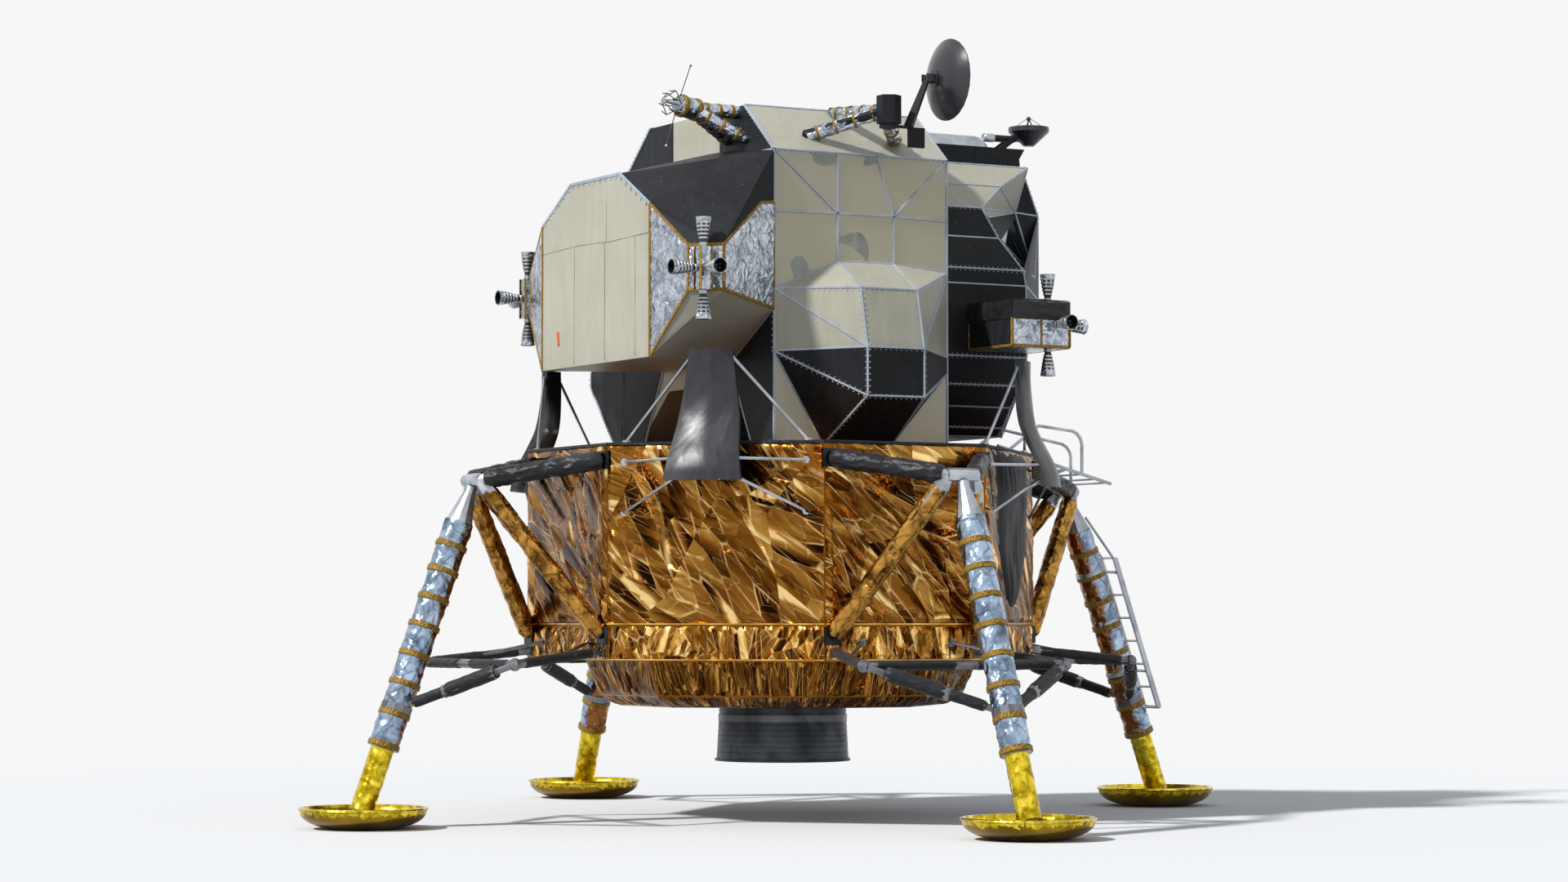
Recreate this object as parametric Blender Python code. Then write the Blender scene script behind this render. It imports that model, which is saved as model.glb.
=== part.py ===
"""Two-stage crewed lunar lander, standing on its four legs.

Metres, +Z up. The origin is on the ground under the centre of the descent stage.
Forward, where the ladder is, is -Y; starboard is -X, port is +X and aft is +Y.
"""

import math

import bmesh
import bpy
from mathutils import Matrix, Vector

# Shared clearances and facet counts
SEAT = 0.0003  # gap between two solids that rest on each other
OVERRUN = 0.05  # how far a cutter reaches past what it cuts
MERGE = 1e-5
SMOOTH_ANGLE = math.radians(35)
TUBE_SIDES = 8
THIN_SIDES = 6
ROUND_SIDES = 24
UP = Vector((0, 0, 1))

# Descent stage: an octagon with four narrower faces that carry the legs
LEG_FACE = 2.199  # centre line to a leg face
LEG_FACE_HALF = 0.813
DIAGONAL_FACE = (LEG_FACE + LEG_FACE_HALF) / math.sqrt(2)
DIAGONAL_HALF = (LEG_FACE - LEG_FACE_HALF) / math.sqrt(2)
DECK_Z = 3.339
BAND_TOP_Z = 1.751
BAND_LOW_Z = 1.440
SKIRT_TOP_SCALE = 0.775
SKIRT_MID_SCALE = 0.72
SKIRT_LOW_SCALE = 0.64
SKIRT_MID_Z = 1.12
SKIRT_LOW_Z = 1.02
ENGINE_WELL_RADIUS = 0.74

# Descent engine, on a two-axis gimbal
GIMBAL_Z = 1.62
BELL_EXIT_Z = 0.512
BELL_EXIT_RADIUS = 0.60
BELL_LIP = 0.022
BELL_TOP_Z = 1.30
BELL_TOP_RADIUS = 0.565
BELL_WALL = 0.02
BELL_RIBS = 4
BELL_RIB_DEPTH = 0.008
CHAMBER_RADIUS = 0.17
GIMBAL_RING_RADIUS = 0.30
GIMBAL_RING_SECTION = 0.05
TRUNNION_RADIUS = 0.02
BRACKET_LENGTH = 0.16

# Landing gear, in a leg's own frame: out along the leg, across it, and up
PAD_REACH = 4.135
PAD_RADIUS = 0.565
PAD_HEIGHT = 0.185
PAD_FLAT = 0.20
PAD_WALL = 0.03
PAD_BOSS_RADIUS = 0.11
PAD_BOSS_Z = 0.105
BALL_RADIUS = 0.095
APEX_REACH = 3.11
APEX_Z = 3.02
STRUT_RADIUS = 0.122
STRUT_SIDES = 12
PISTON_RADIUS = 0.098
PISTON_NECK_SHARE = 0.8
PISTON_TOP_Z = 0.70
CONE_LOW_Z = 2.64
CONE_TOP_Z = 2.90
CONE_TOP_RADIUS = 0.055
HUB_RADIUS = 0.062
HUB_LENGTH = 0.30
HUB_EYE = 0.03
TUBE_NECK = 0.042
TUBE_TAPER = 0.12
UPPER_TUBE = 0.072
LOWER_TUBE = 0.078
UPPER_FOOT_ACROSS = 0.76
UPPER_FOOT_Z = 3.19
LOWER_FOOT_ACROSS = 0.74
LOWER_FOOT_Z = 1.66
FOOT_PLATE = 0.16
FOOT_THICK = 0.03
COLLAR_Z = 1.02
COLLAR_HEIGHT = 0.09
COLLAR_WALL = 0.016
TIP_REACH = 3.17
TIP_ACROSS = 1.0
TIP_Z = 1.415
TIP_RADIUS = 0.058
TIP_STUB = 0.055
SLEEVE_RADIUS = 0.062
SLEEVE_SHARE = 0.62
ROD_RADIUS = 0.046
FITTING_RADIUS = 0.030
END_FITTING = 0.07
BAR_RADIUS = 0.040
LINK_RADIUS = 0.016
TRUSS_FOOT_ACROSS = 0.72
TRUSS_FOOT_Z = 1.52
TRUSS_PLATE_RISE = 0.03
LINK_FOOT_ACROSS = 0.45
LINK_FOOT_Z = 1.60

# Ladder on the forward leg, as distance from the axis and height
LADDER_TOP = (3.282, 2.794)
LADDER_KNEE = (3.616, 2.392)
LADDER_FOOT = (4.10, 0.955)
LADDER_HALF = 0.24
RAIL_RADIUS = 0.022
RUNG_RADIUS = 0.013
RUNG_STEP = 0.235
STANDOFF_RADIUS = 0.018
STANDOFF_HEIGHTS = (1.30, 2.25)
STANDOFF_CLAMP = 0.05
STANDOFF_SHARE = 0.7

# Porch outside the forward hatch
PORCH_HALF = 0.345
PORCH_OUTER = (3.40, 3.095)
PORCH_INNER = (2.12, 3.431)
PORCH_RAILS = (
    # side, foot, start of the level run, outer end
    (-1, 2.25, 2.58, 3.40),
    (1, 2.25, 2.58, 3.07),
)
PORCH_RAIL_INNER_RISE = 0.32
PORCH_RAIL_OUTER_RISE = 0.38
PORCH_RAIL_BEND = 0.10
PORCH_BEND_STEPS = 3
PORCH_TUBE = 0.018
PORCH_RAIL_TUBE = 0.016
PORCH_SLATS = 9
PORCH_SLAT = 0.07
PORCH_SLAT_THICK = 0.014
PORCH_BRACE_ACROSS = 0.30
PORCH_BRACE_Z = 2.93
PORCH_BRACE_SHARE = 0.61

# Cloth cover on the forward starboard diagonal face
COVER_HALF_TOP = 0.68
COVER_HALF_MID = 0.55
COVER_TOP_Z = 3.30
COVER_MID_Z = 2.45
COVER_TIP_Z = 1.89
COVER_TIP_HALF = 0.08
COVER_DEPTH = 0.10
COVER_CROWN_SHARE = 0.8

# Jet deflectors, one on each diagonal face
SHEET_THICK = 0.02
SHEET_ROWS = (
    # height, distance from the axis, half width
    (4.13, 2.285, 0.190),
    (3.84, 2.290, 0.225),
    (3.56, 2.325, 0.265),
    (3.36, 2.420, 0.290),
    (3.18, 2.520, 0.315),
    (2.99, 2.565, 0.345),
)
SHEET_BOW = 0.05
SHEET_COLUMNS = 4
CORNER_SHARE = 0.85
BRACE_RADIUS = 0.014
BRACE_FOOT = 0.035
BRACE_PAD = 0.02
BRACE_DECK_HALF = 0.82
BRACE_MID_Z = 3.17
BRACE_LOW_Z = 2.73

# Ascent stage, middle section
MID_HALF = 1.46
MID_FRONT = -0.877
MID_AFT = 0.898
ROOF_HALF = 0.92
ROOF_Z = 6.377
SHOULDER_Z = 5.925
MID_WALL = 0.10
MID_FLOOR_Z = 4.05
RECESS_TOP_Z = 3.90
RECESS_STARBOARD = -1.043
RECESS_PORT = 0.532
RECESS_SPREAD = 0.38
RECESS_FRONT = -0.60

# Tunnel and overhead hatch
TUNNEL_RADIUS = 0.465
TUNNEL_BORE = 0.405
TUNNEL_TOP_Z = 6.427
TUNNEL_LOW_Z = 6.20
TOP_HATCH_RADIUS = 0.44
HATCH_THICK = 0.045
HINGE_OFFSET = 0.02
HINGE_DEPTH = 0.016
KNUCKLE_RADIUS = 0.012
KNUCKLE_SHARES = ((-0.40, -0.28), (0.28, 0.40))  # along the hatch's side, from its middle

# Tank bays on the two sides: out from the side face, along the craft, and up
BAY_MID_Z = 4.175
BAY_EDGE_Z = 4.147
BAY_LOW_Z = 3.75
BAY_RIDGE_Z = 4.962
BAY_UPPER_Z = 4.70
BAY_UPPER_OUT = 0.40
BAY_OUT = 0.52
BAY_AFT = 0.256
BAY_FORE = -0.320
BAY_EDGE_AFT_Z = 4.695
BAY_EDGE_FORE_Z = 4.907
PORT_OUT = 0.70
PORT_UPPER_OUT = 0.57
PORT_MID_Z = 4.125
PORT_LOW_Z = 4.02
PORT_FOOT_OUT = 0.192
PORT_FOOT_Z = 3.488
BAY_FOOT_AFT = 0.405
BAY_FOOT_FORE = -0.286

# Front cabin: a faceted barrel along the craft; half width, height, front edge
CABIN_AXIS_Z = 4.78
CABIN_RADIUS = 1.20
CABIN_WALL = 0.07
CABIN_SPLIT = -1.40
CABIN_RING = (
    # half width, height, how far forward the strip reaches
    (0.590, 6.033, 2.300),
    (0.820, 5.810, 1.854),
    (0.985, 5.580, 1.540),
    (1.040, 5.300, 1.690),
    (1.167, 5.000, 1.880),
    (1.170, 4.860, 1.905),
    (1.170, 4.200, 1.910),
    (1.050, 3.950, 1.920),
    (0.870, 3.760, 1.925),
    (0.720, 3.577, 1.930),
    (0.620, 3.500, 1.930),
)
NOSE_HALF = 0.50
NOSE_FRONT = 2.475
NOSE_TOP_Z = 5.60
NOSE_LOW_Z = 4.80
NOSE_FOOT = 2.06
NOSE_BROW = (2.33, 5.95)
BROW_INNER = (0.50, 2.22, 5.62)
BROW_OUTER = (0.90, 1.67, 5.51)
WINDOW_FOOT = (0.70, 2.305, 5.00)
WINDOW_SHARE = 0.80
GLASS_THICK = 0.02
GLASS_SHARE_GAP = 0.002

# Forward hatch, square, in the sloping lower nose
HATCH_SIDE = 0.80
HATCH_OPENING = 0.72
HATCH_CENTRE_Z = 4.02
HATCH_FLANGE = 0.05
HATCH_MARGIN = 0.05
HATCH_POCKET = 0.20

# Roof block over the cabin, fairing and radar
BLOCK_HALF = 0.55
BLOCK_TOP_Z = 6.215
BLOCK_FRONT = 2.30
BLOCK_NECK = 2.24
BLOCK_NECK_Z = 6.12
FAIRING_RADIUS = 0.17
FAIRING_FRONT = 2.02
FAIRING_X = -0.05
FAIRING_ROWS = 12
RADAR_X = -0.05
RADAR_HUB = (2.470, 6.380)
RADAR_DRUM_RADIUS = 0.038
RADAR_BARREL_RADIUS = 0.034
RADAR_NOSE = 0.01
RADAR_DRUM_AFT = 2.16
RADAR_CHEEK = 0.015
RADAR_CHEEK_GAP = 0.09
RADAR_CHEEK_RADIUS = 0.04
RADAR_PLATE = 0.085
RADAR_WALL = 0.012
RADAR_DISH_Y = 2.67
RADAR_RIM = 0.195
RADAR_RIM_Z = 6.505
RADAR_RIM_DEEP = 0.045
RADAR_BASE_RADIUS = 0.05
RADAR_BASE_Z = 6.325
RADAR_FEED_Z = 6.590
RADAR_AXLE = 0.022

# Aft equipment bay with the two housings for the aft jets
AFT_FACE = 1.927
AFT_HALF = 1.083
AFT_LOW_Z = 4.087
AFT_SHOULDER_Z = 5.42
AFT_ROOF_HALF = 0.495
AFT_ROOF_Z = 5.745
AFT_ROOT_ROOF_Z = 6.00
AFT_ROOT_SHOULDER_Z = 5.915
AFT_ROOT_LOW_HALF = 0.653
AFT_ROOT_SIDE_LOW_Z = 4.521
HOUSING_AT = 1.700  # the housing's flat end, as equal distances along X and Y
HOUSING_HALF = 0.160
HOUSING_LOW_Z = 4.635
HOUSING_TOP_Z = 5.020

# Jet clusters
JET_AT = 1.760
JET_AFT_Z = 4.810
JET_FORE_Z = 4.455
JET_BLOCK_HALF = 0.055
JET_BLOCK_HEIGHT = 0.37
JET_LENGTH = 0.265
JET_MOUTH = 0.072
JET_WALL = 0.010
FORE_BOX_OUT = 1.90
FORE_BOX_AFT = 1.29
FORE_BOX_FRONT = 1.90
FORE_BOX_LOW_Z = 4.25
FORE_BOX_TOP_Z = 4.66

# Ascent engine cover in the recess
ASCENT_COVER_RADIUS = 0.44
ASCENT_COVER_TOP_Z = 3.87
ASCENT_COVER_X = -0.15
ASCENT_COVER_Y = 0.30
ASCENT_COVER_RIBS = 5
ASCENT_RIB_DEPTH = 0.02

# Steerable dish over the starboard roof
SBAND_HEAD = (-1.75, -0.10, 6.30)
SBAND_HEAD_RADIUS = 0.11
SBAND_HEAD_HALF = 0.125
SBAND_KNEE = 0.20
SBAND_FEET = (
    # along the craft, height on the roof slope
    (0.471, 6.08),
    (0.027, 6.345),
    (-0.451, 6.071),
)
SBAND_STRUT = 0.045
SBAND_POST_RADIUS = 0.05
SBAND_HUB = (-1.75, -0.50, 6.61)
SBAND_ARM = 0.035
SBAND_DISH_RADIUS = 0.366
SBAND_DISH_DEEP = 0.135
SBAND_DISH_WALL = 0.012
SBAND_DISH_ROWS = 5
SBAND_BOSS = 0.075
SBAND_CLEAR = 0.012
SBAND_WEIGHT = 0.16
SBAND_TAPER_SHARE = 0.60
SBAND_FEED_SHARE = 1.4

# Whip and cage antenna on the aft upper corner
VHF_HEAD = (-0.80, 1.39, 6.33)
VHF_FEET = (
    # across, height on the aft face
    (-0.95, 6.07),
    (-0.62, 6.09),
    (-0.81, 6.32),
)
VHF_STRUT = 0.042
VHF_BODY_RADIUS = 0.075
VHF_TIP = (-0.86, 1.68, 6.37)
VHF_CAGE = 0.10
VHF_WIRE = 0.006
VHF_ROD_TOP_Z = 6.72

FINISHES = {
    # name: colour, roughness, metallic
    "gold_foil": ((0.72, 0.36, 0.06), 0.25, 1.0),
    "silver_foil": ((0.75, 0.76, 0.78), 0.28, 1.0),
    "bare_metal": ((0.55, 0.56, 0.58), 0.35, 1.0),
    "cream_panel": ((0.47, 0.44, 0.33), 0.55, 0.0),
    "dark_panel": ((0.03, 0.03, 0.035), 0.50, 0.2),
    "black_cloth": ((0.02, 0.02, 0.022), 0.75, 0.0),
    "nozzle": ((0.22, 0.22, 0.23), 0.40, 0.9),
    "glass": ((0.05, 0.06, 0.07), 0.05, 0.0),
    "pad_gold": ((0.70, 0.50, 0.05), 0.30, 1.0),
}


def clear_scene():
    for thing in list(bpy.data.objects):
        bpy.data.objects.remove(thing, do_unlink=True)


def finish_of(name):
    found = bpy.data.materials.get(name)
    if found:
        return found
    colour, roughness, metallic = FINISHES[name]
    made = bpy.data.materials.new(name)
    made.use_nodes = True
    shader = made.node_tree.nodes["Principled BSDF"]
    shader.inputs["Base Color"].default_value = (*colour, 1)
    shader.inputs["Roughness"].default_value = roughness
    shader.inputs["Metallic"].default_value = metallic
    made.diffuse_color = (*colour, 1)
    return made


def mesh_from(shape):
    mesh = bpy.data.meshes.new("shape")
    shape.to_mesh(mesh)
    shape.free()
    return mesh


def closed(shape):
    bmesh.ops.remove_doubles(shape, verts=shape.verts, dist=MERGE)
    bmesh.ops.recalc_face_normals(shape, faces=shape.faces)
    return shape


def node(name, finish, shape, origin=(0, 0, 0)):
    """One sub-part: the shape is in world places, and the object's origin goes to origin."""
    shape.transform(Matrix.Translation(-Vector(origin)))
    mesh = mesh_from(shape)
    mesh.name = name
    mesh.shade_smooth()
    mesh.set_sharp_from_angle(angle=SMOOTH_ANGLE)
    mesh.materials.append(finish_of(finish))
    made = bpy.data.objects.new(name, mesh)
    made.location = origin
    bpy.context.scene.collection.objects.link(made)
    return made


def combine(base, others, operation):
    """The Boolean of a shape with others, as one new shape."""
    group = bpy.data.collections.new("operands")
    bpy.context.scene.collection.children.link(group)
    helpers = []
    for other in others:
        helper = bpy.data.objects.new("operand", mesh_from(other))
        group.objects.link(helper)
        helpers.append(helper)
    body = bpy.data.objects.new("base", mesh_from(base))
    bpy.context.scene.collection.objects.link(body)
    modifier = body.modifiers.new("combine", "BOOLEAN")
    modifier.operation = operation
    modifier.solver = "EXACT"
    modifier.operand_type = "COLLECTION"
    modifier.collection = group
    graph = bpy.context.evaluated_depsgraph_get()
    result = bmesh.new()
    result.from_mesh(body.evaluated_get(graph).to_mesh())
    for thing in [*helpers, body]:
        bpy.data.objects.remove(thing, do_unlink=True)
    bpy.data.collections.remove(group)
    return result


def fuse(*shapes):
    return combine(shapes[0], shapes[1:], "UNION")


def cut(base, *cutters):
    return combine(base, cutters, "DIFFERENCE")


def hull(points):
    shape = bmesh.new()
    for point in points:
        shape.verts.new(point)
    made = bmesh.ops.convex_hull(shape, input=shape.verts)
    spare = made["geom_interior"] + made["geom_unused"]
    loose = {item for item in spare if isinstance(item, bmesh.types.BMVert)}
    bmesh.ops.delete(shape, geom=list(loose), context="VERTS")
    return closed(shape)


def extrusion(outline, along):
    """A flat outline of 3-D points, drawn out along a vector."""
    shape = bmesh.new()
    face = shape.faces.new([shape.verts.new(point) for point in outline])
    grown = bmesh.ops.extrude_face_region(shape, geom=[face])
    moved = [item for item in grown["geom"] if isinstance(item, bmesh.types.BMVert)]
    bmesh.ops.translate(shape, verts=moved, vec=along)
    return closed(shape)


def box(low, high):
    plan = ((low[0], low[1]), (high[0], low[1]), (high[0], high[1]), (low[0], high[1]))
    return extrusion([(x, y, low[2]) for x, y in plan], (0, 0, high[2] - low[2]))


def frame_to(place, axis):
    """The matrix that puts +Z along an axis, and the origin at a place."""
    turn = UP.rotation_difference(Vector(axis).normalized()).to_matrix().to_4x4()
    return Matrix.Translation(Vector(place)) @ turn


def turned(profile, sides, place=(0, 0, 0), axis=(0, 0, 1)):
    """A closed outline of radius and height, turned about an axis."""
    shape = bmesh.new()
    rings = []
    for radius, height in profile:
        if radius == 0:
            rings.append([shape.verts.new((0, 0, height))])
            continue
        angles = [2 * math.pi * step / sides for step in range(sides)]
        rings.append([shape.verts.new((radius * math.cos(a), radius * math.sin(a), height)) for a in angles])
    for first, second in zip(rings, rings[1:] + rings[:1]):
        if len(first) == 1 and len(second) == 1:
            continue
        for step in range(sides):
            after = (step + 1) % sides
            near = [first[step], first[after]] if len(first) > 1 else [first[0]]
            far = [second[after], second[step]] if len(second) > 1 else [second[0]]
            shape.faces.new(near + far)
    shape.transform(frame_to(place, axis))
    return closed(shape)


def rod(start, end, radius, end_radius=None, sides=TUBE_SIDES):
    start, end = Vector(start), Vector(end)
    length = (end - start).length
    far = radius if end_radius is None else end_radius
    return turned(((0, 0), (radius, 0), (far, length), (0, length)), sides, start, end - start)


def pipe(points, radius, sides=THIN_SIDES):
    """A tube through a row of points, mitred at each bend."""
    points = [Vector(point) for point in points]
    ways = [(after - before).normalized() for before, after in zip(points, points[1:])]
    start = frame_to(points[0], ways[0])
    angles = [2 * math.pi * step / sides for step in range(sides)]
    ring = [start @ Vector((radius * math.cos(a), radius * math.sin(a), 0)) for a in angles]
    places = list(ring)
    for way, after, goal in zip(ways, [*ways[1:], ways[-1]], points[1:]):
        mitre = (way + after).normalized()
        ring = [spot + way * ((goal - spot).dot(mitre) / way.dot(mitre)) for spot in ring]
        places += ring
    faces = [tuple(range(sides)), tuple(range(len(places) - sides, len(places)))]
    for row in range(len(ways)):
        for step in range(sides):
            a, b = row * sides + step, row * sides + (step + 1) % sides
            faces.append((a, b, b + sides, a + sides))
    return polyhedron(places, faces)


def ball(place, radius, sides=TUBE_SIDES, rows=6):
    steps = [math.pi * step / rows for step in range(rows + 1)]
    profile = [(radius * math.sin(a), -radius * math.cos(a)) for a in steps]
    profile[0], profile[-1] = (0, -radius), (0, radius)
    return turned(profile, sides, place)


def polyhedron(points, faces):
    shape = bmesh.new()
    verts = [shape.verts.new(point) for point in points]
    for face in faces:
        shape.faces.new([verts[index] for index in face])
    bmesh.ops.triangulate(shape, faces=shape.faces)
    return closed(shape)


def octagon(scale, z):
    long, short = LEG_FACE * scale, LEG_FACE_HALF * scale
    plan = ((long, short), (short, long), (-short, long), (-long, short))
    return [Vector((x, y, z)) for x, y in (*plan, *((-x, -y) for x, y in plan))]


def octagon_block(rows):
    """A solid through octagons of given scale and height."""
    points = [point for scale, z in rows for point in octagon(scale, z)]
    sides = 8
    faces = [tuple(range(sides)), tuple(range(len(points) - sides, len(points)))]
    for row in range(len(rows) - 1):
        for step in range(sides):
            a, b = row * sides + step, row * sides + (step + 1) % sides
            faces.append((a, b, b + sides, a + sides))
    return polyhedron(points, faces)


def turned_to(shape, degrees):
    shape.transform(Matrix.Rotation(math.radians(degrees), 4, "Z"))
    return shape


def descent_stage():
    body = octagon_block(((1, BAND_TOP_Z + SEAT), (1, DECK_Z)))
    well_top = GIMBAL_Z + BAND_TOP_Z - BAND_LOW_Z
    well = rod((0, 0, BAND_TOP_Z - OVERRUN), (0, 0, well_top), ENGINE_WELL_RADIUS, sides=ROUND_SIDES)
    node("descent_body", "gold_foil", cut(body, well))
    band = octagon_block(((1, BAND_LOW_Z + SEAT), (1, BAND_TOP_Z)))
    above = (0, 0, BAND_TOP_Z + OVERRUN)
    bore = rod((0, 0, BAND_LOW_Z - OVERRUN), above, ENGINE_WELL_RADIUS, sides=ROUND_SIDES)
    reach = ENGINE_WELL_RADIUS + OVERRUN
    brackets = []
    for side in (-1, 1):
        end = (0, side * (ENGINE_WELL_RADIUS - BRACKET_LENGTH), GIMBAL_Z)
        brackets.append(rod((0, side * reach, GIMBAL_Z), end, GIMBAL_RING_SECTION))
    node("descent_band", "gold_foil", fuse(cut(band, bore), *brackets))
    rows = ((SKIRT_LOW_SCALE, SKIRT_LOW_Z), (SKIRT_MID_SCALE, SKIRT_MID_Z), (SKIRT_TOP_SCALE, BAND_LOW_Z))
    skirt = octagon_block(rows)
    above = (0, 0, BAND_LOW_Z + OVERRUN)
    throat = rod((0, 0, SKIRT_LOW_Z - OVERRUN), above, ENGINE_WELL_RADIUS, sides=ROUND_SIDES)
    node("descent_skirt", "gold_foil", cut(skirt, throat))


def bell_profile():
    """Outer wall up with a groove between ribs, then down the inner wall."""
    outer = []
    steps = 2 * BELL_RIBS
    for step in range(steps + 1):
        share = step / steps
        radius = BELL_EXIT_RADIUS + (BELL_TOP_RADIUS - BELL_EXIT_RADIUS) * share
        z = BELL_EXIT_Z + BELL_LIP + (BELL_TOP_Z - BELL_EXIT_Z - BELL_LIP) * share
        outer.append((radius + (BELL_RIB_DEPTH if step % 2 else 0), z))
    shoulder_z = (BELL_TOP_Z + GIMBAL_Z) / 2
    lip = (BELL_EXIT_RADIUS + BELL_LIP, BELL_EXIT_Z)
    inner_top = (CHAMBER_RADIUS - BELL_WALL, shoulder_z - BELL_WALL)
    return [
        (BELL_EXIT_RADIUS - BELL_WALL, BELL_EXIT_Z),
        lip,
        (BELL_EXIT_RADIUS + BELL_LIP, BELL_EXIT_Z + BELL_LIP),
        *outer,
        (CHAMBER_RADIUS, shoulder_z),
        (CHAMBER_RADIUS, GIMBAL_Z + GIMBAL_RING_SECTION),
        (0, GIMBAL_Z + GIMBAL_RING_SECTION),
        (0, shoulder_z),
        inner_top,
        (BELL_TOP_RADIUS - BELL_WALL, BELL_TOP_Z - BELL_WALL),
    ]


def descent_engine():
    bell = turned(bell_profile(), ROUND_SIDES)
    stub = (GIMBAL_RING_RADIUS - GIMBAL_RING_SECTION / 2) * math.cos(math.pi / ROUND_SIDES) - SEAT
    pin = rod((-stub, 0, GIMBAL_Z), (stub, 0, GIMBAL_Z), TRUNNION_RADIUS)
    node("engine_bell", "nozzle", fuse(bell, pin), (0, 0, GIMBAL_Z))
    half = GIMBAL_RING_SECTION / 2
    ring = turned(
        (
            (GIMBAL_RING_RADIUS - half, GIMBAL_Z - half),
            (GIMBAL_RING_RADIUS + half, GIMBAL_Z - half),
            (GIMBAL_RING_RADIUS + half, GIMBAL_Z + half),
            (GIMBAL_RING_RADIUS - half, GIMBAL_Z + half),
        ),
        ROUND_SIDES,
    )
    axles = [
        rod(
            (0, side * GIMBAL_RING_RADIUS, GIMBAL_Z),
            (0, side * (ENGINE_WELL_RADIUS - BRACKET_LENGTH - SEAT), GIMBAL_Z),
            TRUNNION_RADIUS,
        )
        for side in (-1, 1)
    ]
    node("engine_gimbal_ring", "bare_metal", fuse(ring, *axles), (0, 0, GIMBAL_Z))


def leg_line(z):
    """How far out the primary strut's axis is at a height."""
    foot_z = PAD_BOSS_Z + SEAT + BALL_RADIUS
    return PAD_REACH + (APEX_REACH - PAD_REACH) * (z - foot_z) / (APEX_Z - foot_z)


def strut_point(z):
    return Vector((0, leg_line(z), z))


def strut_axis():
    return (strut_point(APEX_Z) - strut_point(0)).normalized()


def clamp(z, height, wall):
    """A solid collar round the primary strut; off_strut then bores it."""
    radius = STRUT_RADIUS + wall
    profile = ((0, -height / 2), (radius, -height / 2), (radius, height / 2), (0, height / 2))
    return turned(profile, STRUT_SIDES, strut_point(z), strut_axis())


def off_strut(shape):
    """The shape without what would reach into the primary strut, with the strut's own facets."""
    bore = STRUT_RADIUS + 2 * SEAT
    low, high = strut_point(PISTON_TOP_Z), strut_point(CONE_LOW_Z)
    return cut(shape, rod(low, high, bore, sides=STRUT_SIDES))


def off_face(shape, face):
    """The shape without what would reach into the descent stage behind a face."""
    far = 2 * PAD_REACH
    return cut(shape, box((-far, 0, -far), (far, face + SEAT, DECK_Z + SEAT)))


def plate_on_face(across, z):
    half = FOOT_PLATE / 2
    low = (across - half, LEG_FACE + SEAT, z - half)
    return box(low, (across + half, LEG_FACE + SEAT + FOOT_THICK, z + half))


def footpad():
    """A shallow bowl with a rolled rim and a boss for the strut's ball."""
    steps = 3
    rim = PAD_RADIUS - PAD_WALL / 2
    under = []
    for step in range(steps + 1):
        angle = math.pi / 2 * step / steps
        radius = PAD_FLAT + (rim - PAD_FLAT) * math.sin(angle)
        under.append((radius, (PAD_HEIGHT - PAD_WALL) * (1 - math.cos(angle))))
    inside = [(radius - PAD_WALL, z + PAD_WALL) for radius, z in reversed(under)]
    rim_out = [(PAD_RADIUS, PAD_HEIGHT - PAD_WALL), (PAD_RADIUS, PAD_HEIGHT)]
    boss = [(PAD_BOSS_RADIUS, PAD_WALL), (PAD_BOSS_RADIUS, PAD_BOSS_Z), (0, PAD_BOSS_Z)]
    profile = [(0, 0), *under, *rim_out, *inside, *boss]
    return turned(profile, ROUND_SIDES, (0, PAD_REACH, 0))


def primary_strut():
    foot_z = PAD_BOSS_Z + SEAT + BALL_RADIUS
    foot = strut_point(foot_z)
    rise = strut_axis().z
    along = {z: (z - foot_z) / rise for z in (PISTON_TOP_Z, CONE_LOW_Z, CONE_TOP_Z, APEX_Z)}
    top = along[APEX_Z] - HUB_RADIUS - SEAT
    step = STRUT_RADIUS - PISTON_RADIUS
    profile = (
        (0, 0),
        (BALL_RADIUS * PISTON_NECK_SHARE, 0),
        (PISTON_RADIUS, 2 * BALL_RADIUS),
        (PISTON_RADIUS, along[PISTON_TOP_Z] - step),
        (STRUT_RADIUS, along[PISTON_TOP_Z]),
        (STRUT_RADIUS, along[CONE_LOW_Z]),
        (CONE_TOP_RADIUS, along[CONE_TOP_Z]),
        (CONE_TOP_RADIUS, top),
        (0, top),
    )
    return fuse(turned(profile, STRUT_SIDES, foot, strut_axis()), ball(foot, BALL_RADIUS))


def tapered_tube(start, end, radius, neck):
    """A tube that narrows to a neck at both ends."""
    way = Vector(end) - Vector(start)
    length = way.length
    profile = (
        (0, 0),
        (neck, 0),
        (radius, TUBE_TAPER),
        (radius, length - TUBE_TAPER),
        (neck, length),
        (0, length),
    )
    return turned(profile, TUBE_SIDES, start, way)


def outrigger_truss():
    """The hub on top of the leg and the four tubes that hold it off the descent stage."""
    hub = rod((-HUB_LENGTH / 2, APEX_REACH, APEX_Z), (HUB_LENGTH / 2, APEX_REACH, APEX_Z), HUB_RADIUS)
    parts = []
    inboard = LEG_FACE + SEAT + FOOT_THICK / 2
    for side in (-1, 1):
        start = (side * (HUB_LENGTH / 2 - HUB_EYE), APEX_REACH, APEX_Z)
        for across, z, radius in (
            (UPPER_FOOT_ACROSS, UPPER_FOOT_Z, UPPER_TUBE),
            (LOWER_FOOT_ACROSS, LOWER_FOOT_Z, LOWER_TUBE),
        ):
            parts.append(tapered_tube(start, (side * across, inboard, z), radius, TUBE_NECK))
            parts.append(plate_on_face(side * across, z))
    return off_face(fuse(hub, *parts), LEG_FACE)


def tip(side):
    return Vector((side * TIP_ACROSS, TIP_REACH, TIP_Z))


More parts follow.
